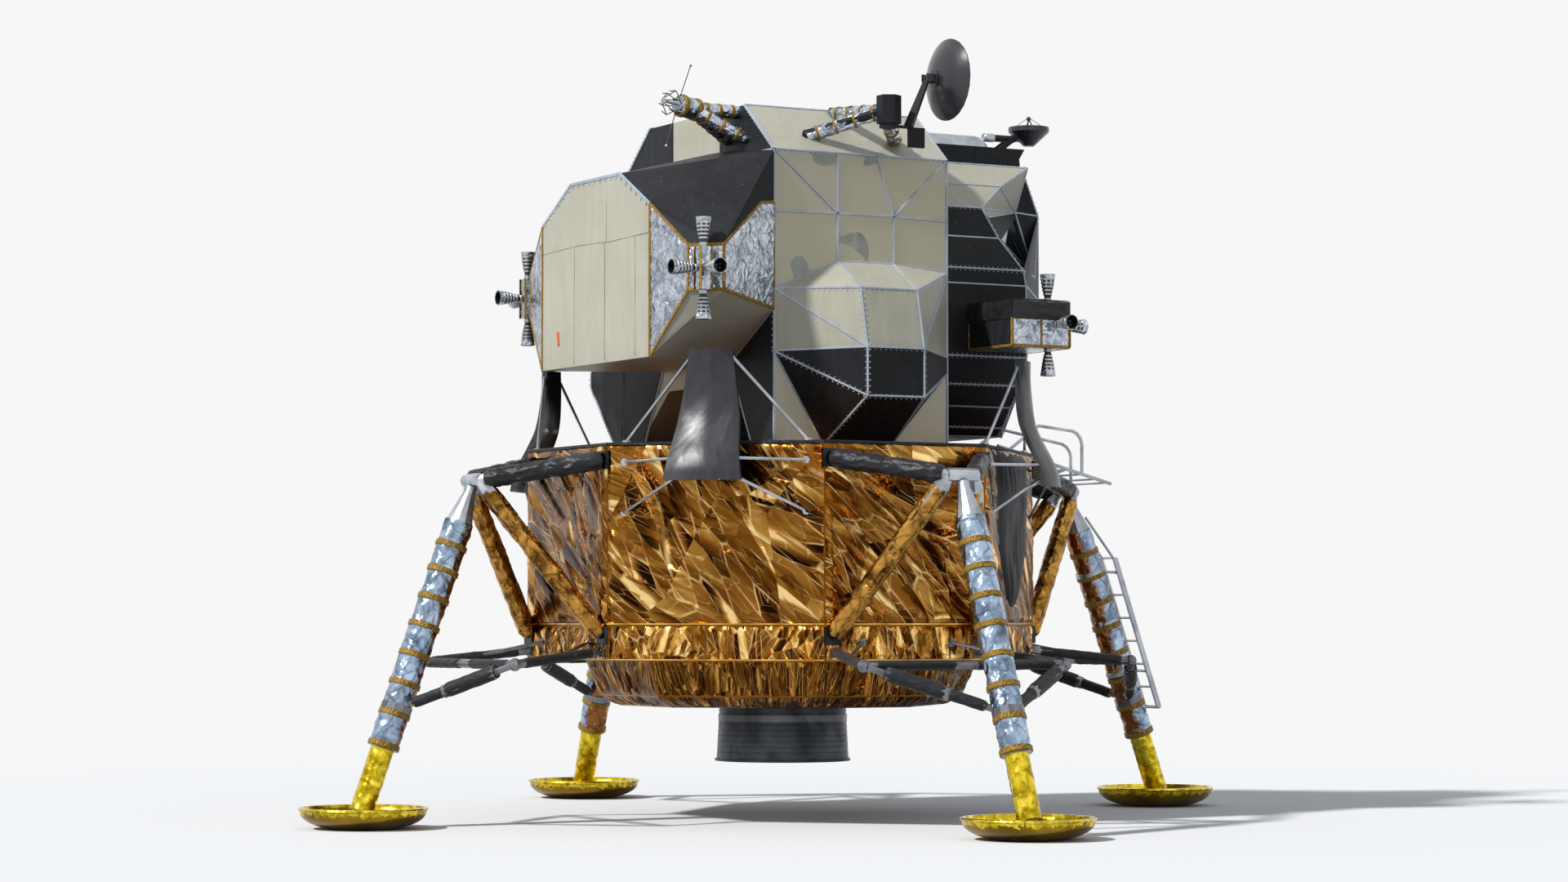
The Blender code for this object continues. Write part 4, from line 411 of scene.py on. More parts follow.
def make_materials():
    # The foil ramps run from deep brown to pale gold: their dark stops are painted shade and their bright
    # stops painted reflection and highlight on the facets.
    gold = (
        (0.06, (0.014, 0.004, 0.001)), (0.22, (0.055, 0.017, 0.002)), (0.38, (0.130, 0.044, 0.005)),
        (0.54, (0.215, 0.082, 0.010)), (0.68, (0.300, 0.140, 0.023)), (0.82, (0.440, 0.235, 0.052)),
        (0.93, (0.900, 0.640, 0.280)),
    )
    pleat = (
        (0.06, (0.020, 0.006, 0.001)), (0.24, (0.075, 0.022, 0.002)), (0.42, (0.165, 0.057, 0.006)),
        (0.58, (0.310, 0.122, 0.015)), (0.76, (0.740, 0.390, 0.080)), (0.90, (1.0, 0.740, 0.300)),
    )
    skirt = (
        (0.06, (0.012, 0.003, 0.001)), (0.30, (0.042, 0.013, 0.002)), (0.55, (0.085, 0.030, 0.004)),
        (0.75, (0.170, 0.066, 0.009)), (0.92, (0.500, 0.250, 0.055)),
    )
    # ridge colours: painted highlights along the foil's creases
    ridge, skirt_ridge_highlight = (0.70, 0.45, 0.17), (0.60, 0.32, 0.07)
    # The wrapped foils' light and mid tones are painted reflection on their dents, and their dark tone is
    # painted shade in their folds.
    silver = ((0.42, 0.54, 0.70), (0.12, 0.17, 0.24), (0.028, 0.032, 0.046))
    crinkle = ((0.60, 0.65, 0.73), (0.27, 0.31, 0.37), (0.05, 0.06, 0.08))
    amber = ((0.56, 0.29, 0.060), (0.120, 0.048, 0.007), (0.026, 0.008, 0.001))
    black = (0.022, 0.023, 0.027)
    made = {
        "gold": creased_foil("creased_gold_foil", gold, ridge, 1.15, 38, 56, (1.6, 8.0, 1.0)),
        "pleat": creased_foil("pleated_gold_foil", pleat, ridge, 2.6, 90, 76, (3.0, 13.0, 1.0), 0.04),
        "skirt": creased_foil(
            "gathered_gold_foil", skirt, skirt_ridge_highlight, 2.6, 90, 26, (2.2, 22.0, 1.0), 0.04
        ),
        "amber": wrapped_foil("wrapped_gold_foil", *amber),
        "silver": wrapped_foil("wrapped_silver_foil", *silver, inner=(0.26, 0.10, 0.025)),
        "crinkle": wrapped_foil("crinkled_silver_foil", *crinkle, scale=11.0),
        "pad": pad_foil(),
        "ochre": woven_tape(),
        "hub": fitting_metal(),
        "glass": tinted_glass(),
    }
    paints = {
        # name, light, dark, roughness, wave, then what differs from plain paint
        "cream": ("cream_panel", (0.50, 0.480, 0.385), (0.43, 0.410, 0.325), (0.36, 0.48), 0.45),
        # the wall paint is a darker, cooler copy of the cream paint: painted shade for the starboard wall
        "wall": ("shaded_cream_wall", (0.45, 0.445, 0.375), (0.35, 0.350, 0.300), (0.26, 0.38), 0.9),
        "dark": ("dark_panel", black, (0.010, 0.011, 0.013), (0.42, 0.55), 0.30),
        "sheet": ("deflector_sheet", (0.036, 0.038, 0.044), (0.014, 0.015, 0.018), (0.28, 0.42), 0.55),
        "seam": ("seam_strip", (0.50, 0.57, 0.66), (0.34, 0.39, 0.46), (0.34, 0.46), 0.2, 0.2),
        "rivet": ("rivet_head", (0.66, 0.68, 0.72), (0.48, 0.50, 0.54), (0.30, 0.40), 0.1, 0.1),
        "groove": ("panel_groove", (0.20, 0.185, 0.13), (0.12, 0.11, 0.08), (0.5, 0.6), 0.1),
        # nozzle lining: near-black painted shade inside the nozzles' hollows
        "nozzle_shade": ("nozzle_shade", (0.010, 0.010, 0.011), (0.005, 0.005, 0.006), (0.6, 0.75), 0.2),
        "dish": ("dish_coating", (0.050, 0.052, 0.058), (0.034, 0.036, 0.040), (0.22, 0.30), 0.10, 0.4),
        "marker": ("orange_marker", (0.80, 0.16, 0.05), (0.60, 0.10, 0.03), (0.35, 0.45), 0.1),
    }
    differs = {
        "wall": {"dent": 0.24},
        "dark": {"speck": (0.045, 0.05, 0.055), "ior": 1.24},
        "sheet": {"ior": 1.42},
        "nozzle_shade": {"ior": 1.2},
    }
    for look, values in paints.items():
        made[look] = painted(*values, **differs.get(look, {}))
    metals = {
        # name, colour, darker patches, roughness
        "trim": ("gold_trim", (0.85, 0.56, 0.15), (0.45, 0.24, 0.05), 0.22),
        "metal": ("bare_metal", (0.48, 0.51, 0.56), (0.28, 0.30, 0.34)),
        "steel": ("dark_steel", (0.22, 0.23, 0.25), (0.10, 0.105, 0.115), 0.30),
        "bell": ("bell_steel", (0.066, 0.072, 0.081), (0.032, 0.036, 0.041), 0.36),
        "bell_band": ("bell_band", (0.130, 0.140, 0.155), (0.075, 0.082, 0.092), 0.36),
        "band": ("nozzle_band", (0.50, 0.51, 0.53), (0.28, 0.29, 0.31), 0.30),
    }
    for look, values in metals.items():
        made[look] = machined(*values)
    cover = (0.021, 0.023, 0.027), (0.011, 0.012, 0.015), (1.6, 1.6, 0.9), (0.42, 0.58), 0.7, 1.28
    crumple = black, (0.005, 0.005, 0.006), (3, 3, 4), (0.24, 0.42), 1.0, 1.36
    made["cover"] = cloth("cover_cloth", *cover)
    made["crumple"] = cloth("crumpled_black_foil", *crumple)
    made["cloth"] = cloth("wrapped_black_cloth", black, (0.008, 0.009, 0.011), ior=1.34)
    return made


MATERIALS = make_materials()


def piece(name, shapes, look, body=CRAFT, smooth=True, angle=40, replaces=()):
    """One new object from (points, faces) shapes, ridden on a body; a third entry is the flat place."""
    points, faces, flat = [], [], []
    for shape in shapes:
        start = len(points)
        points += [tuple(point) for point in shape[0]]
        faces += [tuple(index + start for index in face) for face in shape[1]]
        flat += shape[2] if len(shape) > 2 else [(0, 0)] * len(shape[0])
    mesh = bpy.data.meshes.new(name)
    mesh.from_pydata(points, [], faces)
    tidy = bmesh.new()
    tidy.from_mesh(mesh)
    bmesh.ops.recalc_face_normals(tidy, faces=tidy.faces)
    tidy.to_mesh(mesh)
    tidy.free()
    if any(place != (0, 0) for place in flat):
        layer = mesh.uv_layers.new(name="flat")
        for loop in mesh.loops:
            layer.data[loop.index].uv = flat[loop.vertex_index]
    if smooth:
        mesh.shade_smooth()
        mesh.set_sharp_from_angle(angle=math.radians(angle))
    mesh.materials.append(MATERIALS[look])
    made = bpy.data.objects.new(name, mesh)
    bpy.context.scene.collection.objects.link(made)
    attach(made, body)
    if replaces:
        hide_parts(*replaces)
    return made


def finish_nodes(look, *names):
    """Puts a look on every slot of the named CAD nodes."""
    for name in names:
        if not NODES[name].material_slots:
            NODES[name].data.materials.append(MATERIALS[look])
        for slot in NODES[name].material_slots:
            slot.material = MATERIALS[look]


def frame_to(place, axis):
    turn = UP.rotation_difference(Vector(axis).normalized()).to_matrix().to_4x4()
    return Matrix.Translation(Vector(place)) @ turn


def turned(profile, place=(0, 0, 0), axis=(0, 0, 1), sides=TURN_STEPS, wobble=None):
    """A closed outline of radius and height, turned about an axis."""
    matrix = frame_to(place, axis)
    points, rings = [], []
    for radius, height in profile:
        if radius == 0:
            rings.append([len(points)])
            points.append(matrix @ Vector((0, 0, height)))
            continue
        ring = []
        for step in range(sides):
            a = 2 * math.pi * step / sides
            spread = radius + (wobble(a, height) if wobble else 0)
            ring.append(len(points))
            points.append(matrix @ Vector((spread * math.cos(a), spread * math.sin(a), height)))
        rings.append(ring)
    faces = []
    for first, second in zip(rings, rings[1:] + rings[:1]):
        if len(first) == len(second) == 1:
            continue
        for step in range(sides):
            after = (step + 1) % sides
            near = [first[step], first[after]] if len(first) > 1 else [first[0]]
            far = [second[after], second[step]] if len(second) > 1 else [second[0]]
            faces.append(near + far)
    return points, faces


def wrapped_tube(start, end, kind, seed=0.0):
    """A tube wrapped in foil or cloth, with folds that run round and along it."""
    radius, swell, fold, step, sides, ends = WRAPS[kind]
    start, end = Vector(start), Vector(end)
    length = (end - start).length
    rows = max(int(length / step), 4)

    def wobble(a, height):
        place = Vector((math.cos(a) * 1.4, math.sin(a) * 1.4, height * fold)) + Vector((seed, seed, seed))
        ridge = 1 - abs(noise.noise(place)) * 2
        small = noise.noise(place * 2.7) * 0.4
        return swell * (ridge * 0.7 + small)

    profile = [(0, 0), (radius * ends * 0.6, 0)]
    for row in range(rows + 1):
        share = row / rows
        edge = min(share, 1 - share) * length
        round_in = 1 if edge > radius else ends + (1 - ends) * math.sin(math.pi / 2 * edge / radius)
        profile.append((radius * round_in, length * share))
    profile += [(radius * ends * 0.6, length), (0, length)]
    return turned(profile, start, end - start, sides, wobble)


def ring_band(place, axis, radius, width, thick=0.006, sides=40):
    """A tape band round a tube, with soft edges."""
    half = width / 2
    lip = thick / 2
    profile = (
        (radius - thick, -half),
        (radius + lip, -half),
        (radius + thick, -half + lip),
        (radius + thick, half - lip),
        (radius + lip, half),
        (radius - thick, half),
    )

    def wobble(a, height):
        return 0.003 * noise.noise(Vector((math.cos(a) * 2, math.sin(a) * 2, place[2] * 7)))

    return turned(profile, place, axis, sides, wobble)


def turn_points(shape, degrees):
    matrix = Matrix.Rotation(math.radians(degrees), 4, "Z")
    return [matrix @ Vector(point) for point in shape[0]], *shape[1:]


def creased_height(u, v, seed, amount, along, across, angle):
    """Height of crumpled foil at a place on a flat panel: stretched facets with sharp valleys."""
    c, s = math.cos(math.radians(angle)), math.sin(math.radians(angle))
    a, b = u * c + v * s, v * c - u * s
    place = Vector((a * along, b * across, seed))
    place += Vector((noise.noise(place * 0.9), noise.noise(place * 0.9 + Vector((7, 3, 1))), 0)) * 0.55
    distances, feet = noise.voronoi(place)
    lean = noise.cell_vector(feet[0] * 13.7)
    offset = place - Vector(feet[0])
    facet = (lean.x - 0.5) * offset.x + (lean.y - 0.5) * offset.y
    valley = min(distances[1] - distances[0], 0.35)
    return amount * (0.55 + facet * 1.1 + valley * 0.9 + 0.25 * noise.noise(place * 2.3))


def foil_sheet(corners, normal, height, columns, rows, shift=0.0, tuck=0.004):
    """A creased sheet over a flat four-cornered face; its rim tucks into the solid."""
    low_left, low_right, high_right, high_left = (Vector(corner) for corner in corners)
    wide = ((low_right - low_left).length + (high_right - high_left).length) / 2
    tall = ((high_left - low_left).length + (high_right - low_right).length) / 2
    points, flat = [], []
    for row in range(rows + 1):
        v = row / rows
        for column in range(columns + 1):
            u = column / columns
            low = low_left.lerp(low_right, u)
            high = high_left.lerp(high_right, u)
            edge = min(u * wide, (1 - u) * wide, v * tall, (1 - v) * tall)
            fade = min(edge / 0.05, 1)
            lift = height(u * wide, v * tall) * fade - tuck * (1 - fade)
            points.append(low.lerp(high, v) + normal * lift)
            flat.append((u * wide + shift, v * tall))
    across = columns + 1
    faces = []
    for row in range(rows):
        for column in range(columns):
            a = row * across + column
            faces.append((a, a + 1, a + 1 + across, a + across))
    return points, faces, flat


def octagon_sides(scale):
    """Each side's two ends and outward normal, seen from above, from the aft leg face round."""
    for index in range(8):
        leg = index % 2 == 0
        turn = Matrix.Rotation(math.radians(45 * index), 3, "Z")
        reach = LEG_FACE if leg else DIAGONAL_FACE
        half = LEG_FACE_HALF if leg else DIAGONAL_HALF
        ends = [turn @ Vector((side * half * scale, reach * scale, 0)) for side in (1, -1)]
        yield index, ends[0], ends[1], turn @ Vector((0, 1, 0))


def side_panels(low_scale, low_z, high_scale, high_z, height, step):
    """A foil sheet on each of the eight sides, between two levels of the octagon."""
    shapes = []
    lows, highs = list(octagon_sides(low_scale)), list(octagon_sides(high_scale))
    for (index, low_a, low_b, normal), (_, high_a, high_b, _) in zip(lows, highs):
        corners = [low_a.copy(), low_b.copy(), high_b.copy(), high_a.copy()]
        for corner, z in zip(corners, (low_z, low_z, high_z, high_z)):
            corner.z = z
        slope = (corners[3] - corners[0]).cross(corners[1] - corners[0]).normalized()
        if slope.dot(normal) < 0:
            slope = -slope
        columns = int((corners[1] - corners[0]).length / step)
        rows = int((corners[3] - corners[0]).length / step)
        def rise(u, v):
            return height(u, v, index)

        shapes.append(foil_sheet(corners, slope, rise, columns, rows, index * 7.3))
    return shapes


def edging(levels, width, thick):
    """A strip along each side of the octagon at each level."""
    shapes = []
    for _, first, second, normal in octagon_sides(1):
        for z in levels:
            start, end = first.copy(), second.copy()
            start.z = end.z = z
            shapes.append(strip(start, end, normal, width, thick))
    return shapes


def dress_descent_stage():
    def panel(u, v, index):
        return creased_height(u, v, index * 5.3, 0.026, 1.2, 6.0, -38)

    def pleats(u, v, index):
        wander = noise.noise(Vector((u * 2.5, v * 3.5, index * 3.1)))
        ridge = 1 - abs(math.sin(u * 26 + wander * 4.0))
        return 0.006 + 0.016 * ridge + 0.008 * noise.noise(Vector((u * 14, v * 9, index)))

    panels = side_panels(1, BAND_TOP_Z + 0.005, 1, DECK_Z - 0.005, panel, 0.019)
    piece("descent_foil", panels, "gold")
    piece("descent_band_foil", side_panels(1, BAND_LOW_Z, 1, BAND_TOP_Z, pleats, 0.017), "pleat")
    shapes = []
    for (high_scale, high_z), (low_scale, low_z) in zip(SKIRT_ROWS, SKIRT_ROWS[1:]):
        shapes += side_panels(low_scale, low_z, high_scale, high_z, pleats, 0.02)
    piece("descent_skirt_foil", shapes, "skirt")
    piece("deck_rim", edging([DECK_Z - 0.012], 0.03, 0.014), "cloth")
    piece("band_tape", edging([BAND_TOP_Z + 0.01, BAND_LOW_Z + 0.012], 0.016, 0.012), "trim")
    finish_nodes("pleat", "descent_body", "descent_band", "descent_skirt")


def strip(start, end, normal, width, thick, lift=0.0):
    """A raised strip with bevelled edges along a line on a face."""
    start, end, normal = Vector(start), Vector(end), Vector(normal).normalized()
    way = (end - start).normalized()
    side = way.cross(normal).normalized() * width / 2
    low, high = normal * (lift - 0.002), normal * (lift + thick)
    points = []
    for place in (start, end):
        points += [place - side + low, place + side + low]
        points += [place + side * 0.7 + high, place - side * 0.7 + high]
    faces = [(0, 1, 2, 3), (7, 6, 5, 4)]
    for step in range(4):
        after = (step + 1) % 4
        faces.append((step, step + 4, after + 4, after))
    return points, faces


def rivets(start, end, normal, offset):
    """A row of small domed rivets along a line."""
    start, end, normal = Vector(start), Vector(end), Vector(normal).normalized()
    way = end - start
    count = max(int(way.length / RIVET_GAP), 1)
    side = way.normalized().cross(normal) * offset
    points, faces = [], []
    matrix = frame_to((0, 0, 0), normal)
    for index in range(count):
        place = start + way * ((index + 0.5) / count) + side
        base = len(points)
        for step in range(6):
            a = math.pi / 3 * step
            spot = Vector((RIVET_RADIUS * math.cos(a), RIVET_RADIUS * math.sin(a), 0))
            points.append(place + matrix @ spot)
        points.append(place + normal * RIVET_RADIUS * 0.7)
        faces += [(base + step, base + (step + 1) % 6, base + 6) for step in range(6)]
        faces.append(tuple(base + step for step in reversed(range(6))))
    return points, faces


def leg_line(z):
    foot_z = PAD_BOSS_Z + BALL_RADIUS
    return PAD_REACH + (APEX_REACH - PAD_REACH) * (z - foot_z) / (APEX_Z - foot_z)


def strut_point(z):
    return Vector((0, leg_line(z), z))


BAND_HEIGHTS = (0.715, 0.98, 1.24, 1.49, 1.74, 1.98, 2.22, 2.44)
STRUT_AXIS = (strut_point(APEX_Z) - strut_point(0.2)).normalized()


def pad_shape():
    """The footpad: a smooth pressed bowl with a rolled rim."""
    wall, flat, steps = 0.03, 0.20, 14
    lip = wall / 2
    under = []
    for step in range(steps + 1):
        angle = math.pi / 2 * step / steps
        radius = flat + (PAD_RADIUS - lip - flat) * math.sin(angle)
        under.append((radius, (PAD_HEIGHT - wall) * (1 - math.cos(angle))))
    inside = [(radius - wall, z + wall) for radius, z in reversed(under)]
    rim = []
    for share in (0, 0.25, 0.5, 0.75, 1):
        angle = math.pi * (share - 0.5)
        radius = PAD_RADIUS + lip * (math.cos(angle) - 1)
        rim.append((radius, PAD_HEIGHT - lip + lip * math.sin(angle)))
    top = PAD_BOSS_Z - 0.001
    boss = [(0.115, wall + 0.004), (0.11, PAD_BOSS_Z - 0.008), (0.10, top), (0, top)]
    profile = [(0, 0), *under, *rim, *inside, *boss]

    def dent(a, height):
        depth = noise.noise(Vector((math.cos(a) * 3, math.sin(a) * 3, height * 12)))
        return 0.003 * (depth - 1) if height > 0.02 else 0

    return turned(profile, (0, PAD_REACH, 0), sides=96, wobble=dent)


def strut_bands(heights, stand, width, thick):
    """Tape bands round a primary strut."""
    axis, radius = STRUT_AXIS, STRUT_RADIUS + stand
    return [ring_band(strut_point(z), axis, radius, width, thick) for z in heights]


def dress_legs():
    inboard = LEG_FACE + 0.02
    for index, (name, turn) in enumerate(LEGS):
        def put(label, shapes, look, **more):
            piece(f"leg_{name}_{label}", [turn_points(shape, turn) for shape in shapes], look, **more)

        seed = index * 11.7
        put("pad_bowl", [pad_shape()], "pad", replaces=[f"leg_{name}_footpad"])
        foot, top = strut_point(0.15), strut_point(PISTON_TOP_Z - 0.02)
        put("piston_foil", [wrapped_tube(foot, top, "piston", seed)], "pad")
        low, high = strut_point(PISTON_TOP_Z - 0.01), strut_point(CONE_LOW_Z + 0.01)
        put("strut_foil", [wrapped_tube(low, high, "strut", seed + 3)], "silver")
        put("strut_tape", strut_bands(BAND_HEIGHTS, 0.007, 0.052, 0.013), "ochre")
        for side, mark in ((-1, "a"), (1, "b")):
            start = Vector((side * 0.12, APEX_REACH, APEX_Z))
            upper = Vector((side * UPPER_FOOT[0], inboard, UPPER_FOOT[1]))
            way = (upper - start).normalized()
            tube = wrapped_tube(start + way * 0.05, upper - way * 0.005, "upper", seed + side)
            put(f"upper_wrap_{mark}", [tube], "crumple")
            lower = Vector((side * LOWER_FOOT[0], inboard, LOWER_FOOT[1]))
            way = (lower - start).normalized()
            tube = wrapped_tube(start + way * 0.10, lower - way * 0.01, "lower", seed + side * 2)
            put(f"lower_wrap_{mark}", [tube], "amber")
            tip = Vector((side * TIP_ACROSS, TIP_REACH, TIP_Z))
            way = (strut_point(COLLAR_Z) - tip).normalized()
            length = (strut_point(COLLAR_Z) - tip).length - STRUT_RADIUS - 0.034
            begin, end = tip + way * 0.19, tip + way * (0.113 + (length - 0.113) * 0.62)
            last = tip + way * (length - 0.05)
            tubes = [
                wrapped_tube(begin, end, "sleeve", seed + side * 5),
                wrapped_tube(end - way * 0.03, last, "sleeve_end", seed + side * 6),
            ]
            put(f"sleeve_wrap_{mark}", tubes, "cloth")
            corner = Vector((side * 0.72, inboard, 1.52))
            way = (corner - tip).normalized()
            tube = wrapped_tube(tip + way * 0.09, corner - way * 0.10, "bar", seed + side * 7)
            put(f"bar_wrap_{mark}", [tube], "cloth")
            middle, away = Vector((side * 0.10, TIP_REACH, TIP_Z)), Vector((side * 0.11, 0, 0))
            tube = wrapped_tube(middle, tip - away, "cross", seed + side * 9)
            put(f"cross_wrap_{mark}", [tube], "cloth")
        finish_nodes("metal", f"leg_{name}_primary_strut")
        finish_nodes("hub", f"leg_{name}_outrigger")
        finish_nodes("steel", f"leg_{name}_secondary_struts", f"leg_{name}_deployment_truss")
    dress_ladder()


def rod(start, end, radius, sides=16):
    """A plain turned bar with slightly eased ends."""
    start, end = Vector(start), Vector(end)
    length, ease = (end - start).length, radius * 0.2
    profile = [(0, 0), (radius - ease, 0), (radius, ease)]
    profile += [(radius, length - ease), (radius - ease, length), (0, length)]
    return turned(profile, start, end - start, sides)


def dress_ladder():
    """Two flat rails with round rungs, thin bent handholds above, and standoffs to the strut."""
    half, rung_gap = 0.105, 0.235
    hold, knee, foot = (Vector((0, *place)) for place in LADDER_LINE)
    way = (foot - knee).normalized()
    out = Vector((1, 0, 0)).cross(way).normalized()
    if out.y < 0:
        out = -out
    across = Vector((half, 0, 0))
    shapes = []
    for side in (-1, 1):
        aside = across * side
        shapes.append(strip(knee + aside, foot + aside, out, 0.030, 0.020, -0.010))
        rail = knee + aside * 1.25, foot + aside * 1.25
        shapes.append(strip(*rail, (side, 0, 0), 0.056, 0.004, -0.002))
        shapes.append(rod(hold + aside * 0.8, knee + aside * 0.9, 0.012))
    for index in range(int((foot - knee).length / rung_gap)):
        place = knee + way * rung_gap * (index + 0.6)
        shapes.append(rod(place - across, place + across, 0.011))
    shapes.append(rod(knee - across, knee + across, 0.011))
    shapes.append(rod(foot - across * 1.3, foot + across * 1.3, 0.016))
    for z in STANDOFF_HEIGHTS:
        place = knee.lerp(foot, (knee.z - z) / (knee.z - foot.z))
        for side in (-1, 1):
            aside = across * side
            shapes.append(rod(strut_point(z + 0.02) + aside * 0.4, place + aside, 0.013))
    shapes.append(rod(strut_point(hold.z - 0.08), hold, 0.013))
    shapes += strut_bands(STANDOFF_HEIGHTS, 0.008, 0.05, 0.012)
    turned_shapes = [turn_points(shape, 180) for shape in shapes]
    piece("ladder_rails", turned_shapes, "metal", angle=30, replaces=["ladder"])


def plate(corners, shapes, bulge=0.004, lift=0.003, seed=0.0, thick=0.004):
    """A thin sheet over a flat or warped polygon, slightly dished by its own stress."""
    points = [Vector(corner) for corner in corners]
    middle = sum(points, Vector()) / len(points)
    normal = Vector()
    for a, b in zip(points, points[1:] + points[:1]):
        normal += (a - middle).cross(b - middle)
    normal.normalize()
    shape = bmesh.new()
    shape.faces.new([shape.verts.new(point) for point in points])
    bmesh.ops.triangulate(shape, faces=shape.faces)
    for _ in range(4):
        long_edges = [edge for edge in shape.edges if edge.calc_length() > PLATE_STEP]
        if not long_edges:
            break
        bmesh.ops.subdivide_edges(shape, edges=long_edges, cuts=1)
        bmesh.ops.triangulate(shape, faces=shape.faces)
    rim = {vert for edge in shape.edges if len(edge.link_faces) == 1 for vert in edge.verts}
    for vert in shape.verts:
        wave = 0 if vert in rim else bulge * (0.6 + noise.noise(vert.co * 3.2 + Vector((seed, seed, 0))))
        vert.co += normal * (lift + wave)
    grown = bmesh.ops.extrude_face_region(shape, geom=list(shape.faces))
    moved = [item for item in grown["geom"] if isinstance(item, bmesh.types.BMVert)]
    bmesh.ops.translate(shape, verts=moved, vec=-normal * thick)
    shape.verts.index_update()
    faces = [[vert.index for vert in face.verts] for face in shape.faces]
    shapes.append(([vert.co.copy() for vert in shape.verts], faces))
    shape.free()
    return normal


STRIPS_LAID = set()


def edge_strips(outline, normal, seams, dots, width=SEAM_WIDTH):
    """Seam strips along an outline with rivets beside each; a shared edge gets one strip."""
    points = [Vector(point) for point in outline]
    for a, b in zip(points, points[1:] + points[:1]):
        ends = frozenset(tuple(round(part, 2) for part in point) for point in (a, b))
        key = (ends, tuple(round(part, 1) + 0.0 for part in normal))
        if key in STRIPS_LAID:
            continue
        STRIPS_LAID.add(key)
        seams.append(strip(a, b, normal, width, 0.006, 0.004))
        if dots is not None:
            dots.append(rivets(a, b, normal, width * 1.1))


WALL_PANELS = (
    # y and z of each panel's corners on the starboard face, from the shoulder down
    ((MID_AFT, 5.38), (MID_AFT, SHOULDER_Z), (0.256, 5.39)),
    ((MID_AFT, SHOULDER_Z), (0.256, SHOULDER_Z), (0.256, 5.39)),
    ((0.256, SHOULDER_Z), (-0.15, SHOULDER_Z), (-0.32, 5.39), (0.256, 5.39)),
    ((-0.15, SHOULDER_Z), (MID_FRONT, SHOULDER_Z), (-0.32, 5.39)),
    ((MID_FRONT, SHOULDER_Z), (MID_FRONT, 5.375), (-0.32, 5.39)),
    ((MID_AFT, 5.38), (0.256, 5.39), (0.256, 4.96), (MID_AFT, 4.70)),
    ((0.256, 5.39), (-0.32, 5.39), (-0.32, 4.96), (0.256, 4.96)),
    ((-0.32, 5.39), (MID_FRONT, 5.375), (MID_FRONT, 4.91), (-0.32, 4.96)),
    ((MID_AFT, 4.70), (0.256, 4.96), (MID_AFT, 4.15)),
    ((MID_AFT, 4.15), (0.405, 3.36), (MID_AFT, 3.36)),
    ((MID_FRONT, 4.01), (MID_FRONT, 3.36), (-0.286, 3.36)),
)
AFT_PANEL_HALF = 0.45


def dress_middle():
    walls, cream, aft_cream, dark, seams, dots = [], [], [], [], [], []
    aft = (0, 1, 0)
    for index, outline in enumerate(WALL_PANELS):
        corners = [(-MID_HALF, y, z) for y, z in outline]
        plate(corners, walls, bulge=0.012, seed=index * 3.1)
        edge_strips(corners, (-1, 0, 0), seams, dots)
    for side in (-1, 1):
        low, high = side * MID_HALF, side * ROOF_HALF
        slope = [(low, MID_AFT, SHOULDER_Z), (high, MID_AFT, ROOF_Z)]
        slope += [(high, MID_FRONT, ROOF_Z), (low, MID_FRONT, SHOULDER_Z)]
        if side < 0:
            slope.reverse()
        normal = plate(slope, cream, seed=side)
        edge_strips(slope, normal, seams, dots)
    edges = (-ROOF_HALF, -AFT_PANEL_HALF, AFT_PANEL_HALF, ROOF_HALF)
    for low, high in zip(edges, edges[1:]):
        levels = (SHOULDER_Z + 0.02, ROOF_Z)
        corners = [(low, MID_AFT, z) for z in levels] + [(high, MID_AFT, z) for z in reversed(levels)]
        plate(corners, aft_cream if low == -AFT_PANEL_HALF else dark, seed=low)
        for a, b in zip(corners, corners[1:] + corners[:1]):
            dots.append(rivets(a, b, aft, 0.03))
    for side in (-1, 1):
        shoulder = [(MID_HALF, SHOULDER_Z), (ROOF_HALF, ROOF_Z)]
        shoulder += [(ROOF_HALF, SHOULDER_Z - 0.2), (MID_HALF, SHOULDER_Z - 0.2)]
        below = [(MID_HALF, 4.52), (0.653, 4.087), (1.05, 3.36), (MID_HALF, 3.36)]
        for outline, seed in ((shoulder, side), (below, side * 3)):
            corners = [(side * x, MID_AFT, z) for x, z in outline]
            if side > 0:
                corners.reverse()
            plate(corners, dark, seed=seed)
        edge_strips(corners, aft, seams, dots)
        corner = (side * MID_HALF, MID_AFT, SHOULDER_Z)
        for x, z in ((ROOF_HALF, ROOF_Z), (0.60, SHOULDER_Z)):
            seams.append(strip(corner, (side * x, MID_AFT, z), aft, 0.026, 0.006, 0.006))
    # the starboard wall's panels take that darker copy of the cream paint, as painted shade
    piece("midsection_wall_panels", walls, "wall", angle=20)
    piece("midsection_cream_panels", cream, "cream", angle=20)
    piece("midsection_aft_cream", aft_cream, "cream", angle=20)
    piece("midsection_dark_panels", dark, "dark", angle=20)
    piece("midsection_seams", seams, "seam", smooth=False)
    piece("midsection_rivets", dots, "rivet")


def hull_faces(node, cut=(), parted=lambda normal: True):
    """A node's flat faces as (normal, corners, area); planes in cut part those that parted picks."""
    work = bmesh.new()
    work.from_mesh(NODES[node].data)
    bmesh.ops.remove_doubles(work, verts=work.verts, dist=1e-5)
    bmesh.ops.dissolve_limit(work, angle_limit=math.radians(1), verts=work.verts, edges=work.edges)
    for place, across in cut:
        faces = [face for face in work.faces if parted(face.normal)]
        edges = {edge for face in faces for edge in face.edges}
        verts = {vert for face in faces for vert in face.verts}
        geometry = [*verts, *edges, *faces]
        bmesh.ops.bisect_plane(work, geom=geometry, plane_co=place, plane_no=across)
    found = []
    for face in work.faces:
        found.append((face.normal.copy(), [vert.co.copy() for vert in face.verts], face.calc_area()))
    work.free()
    return found


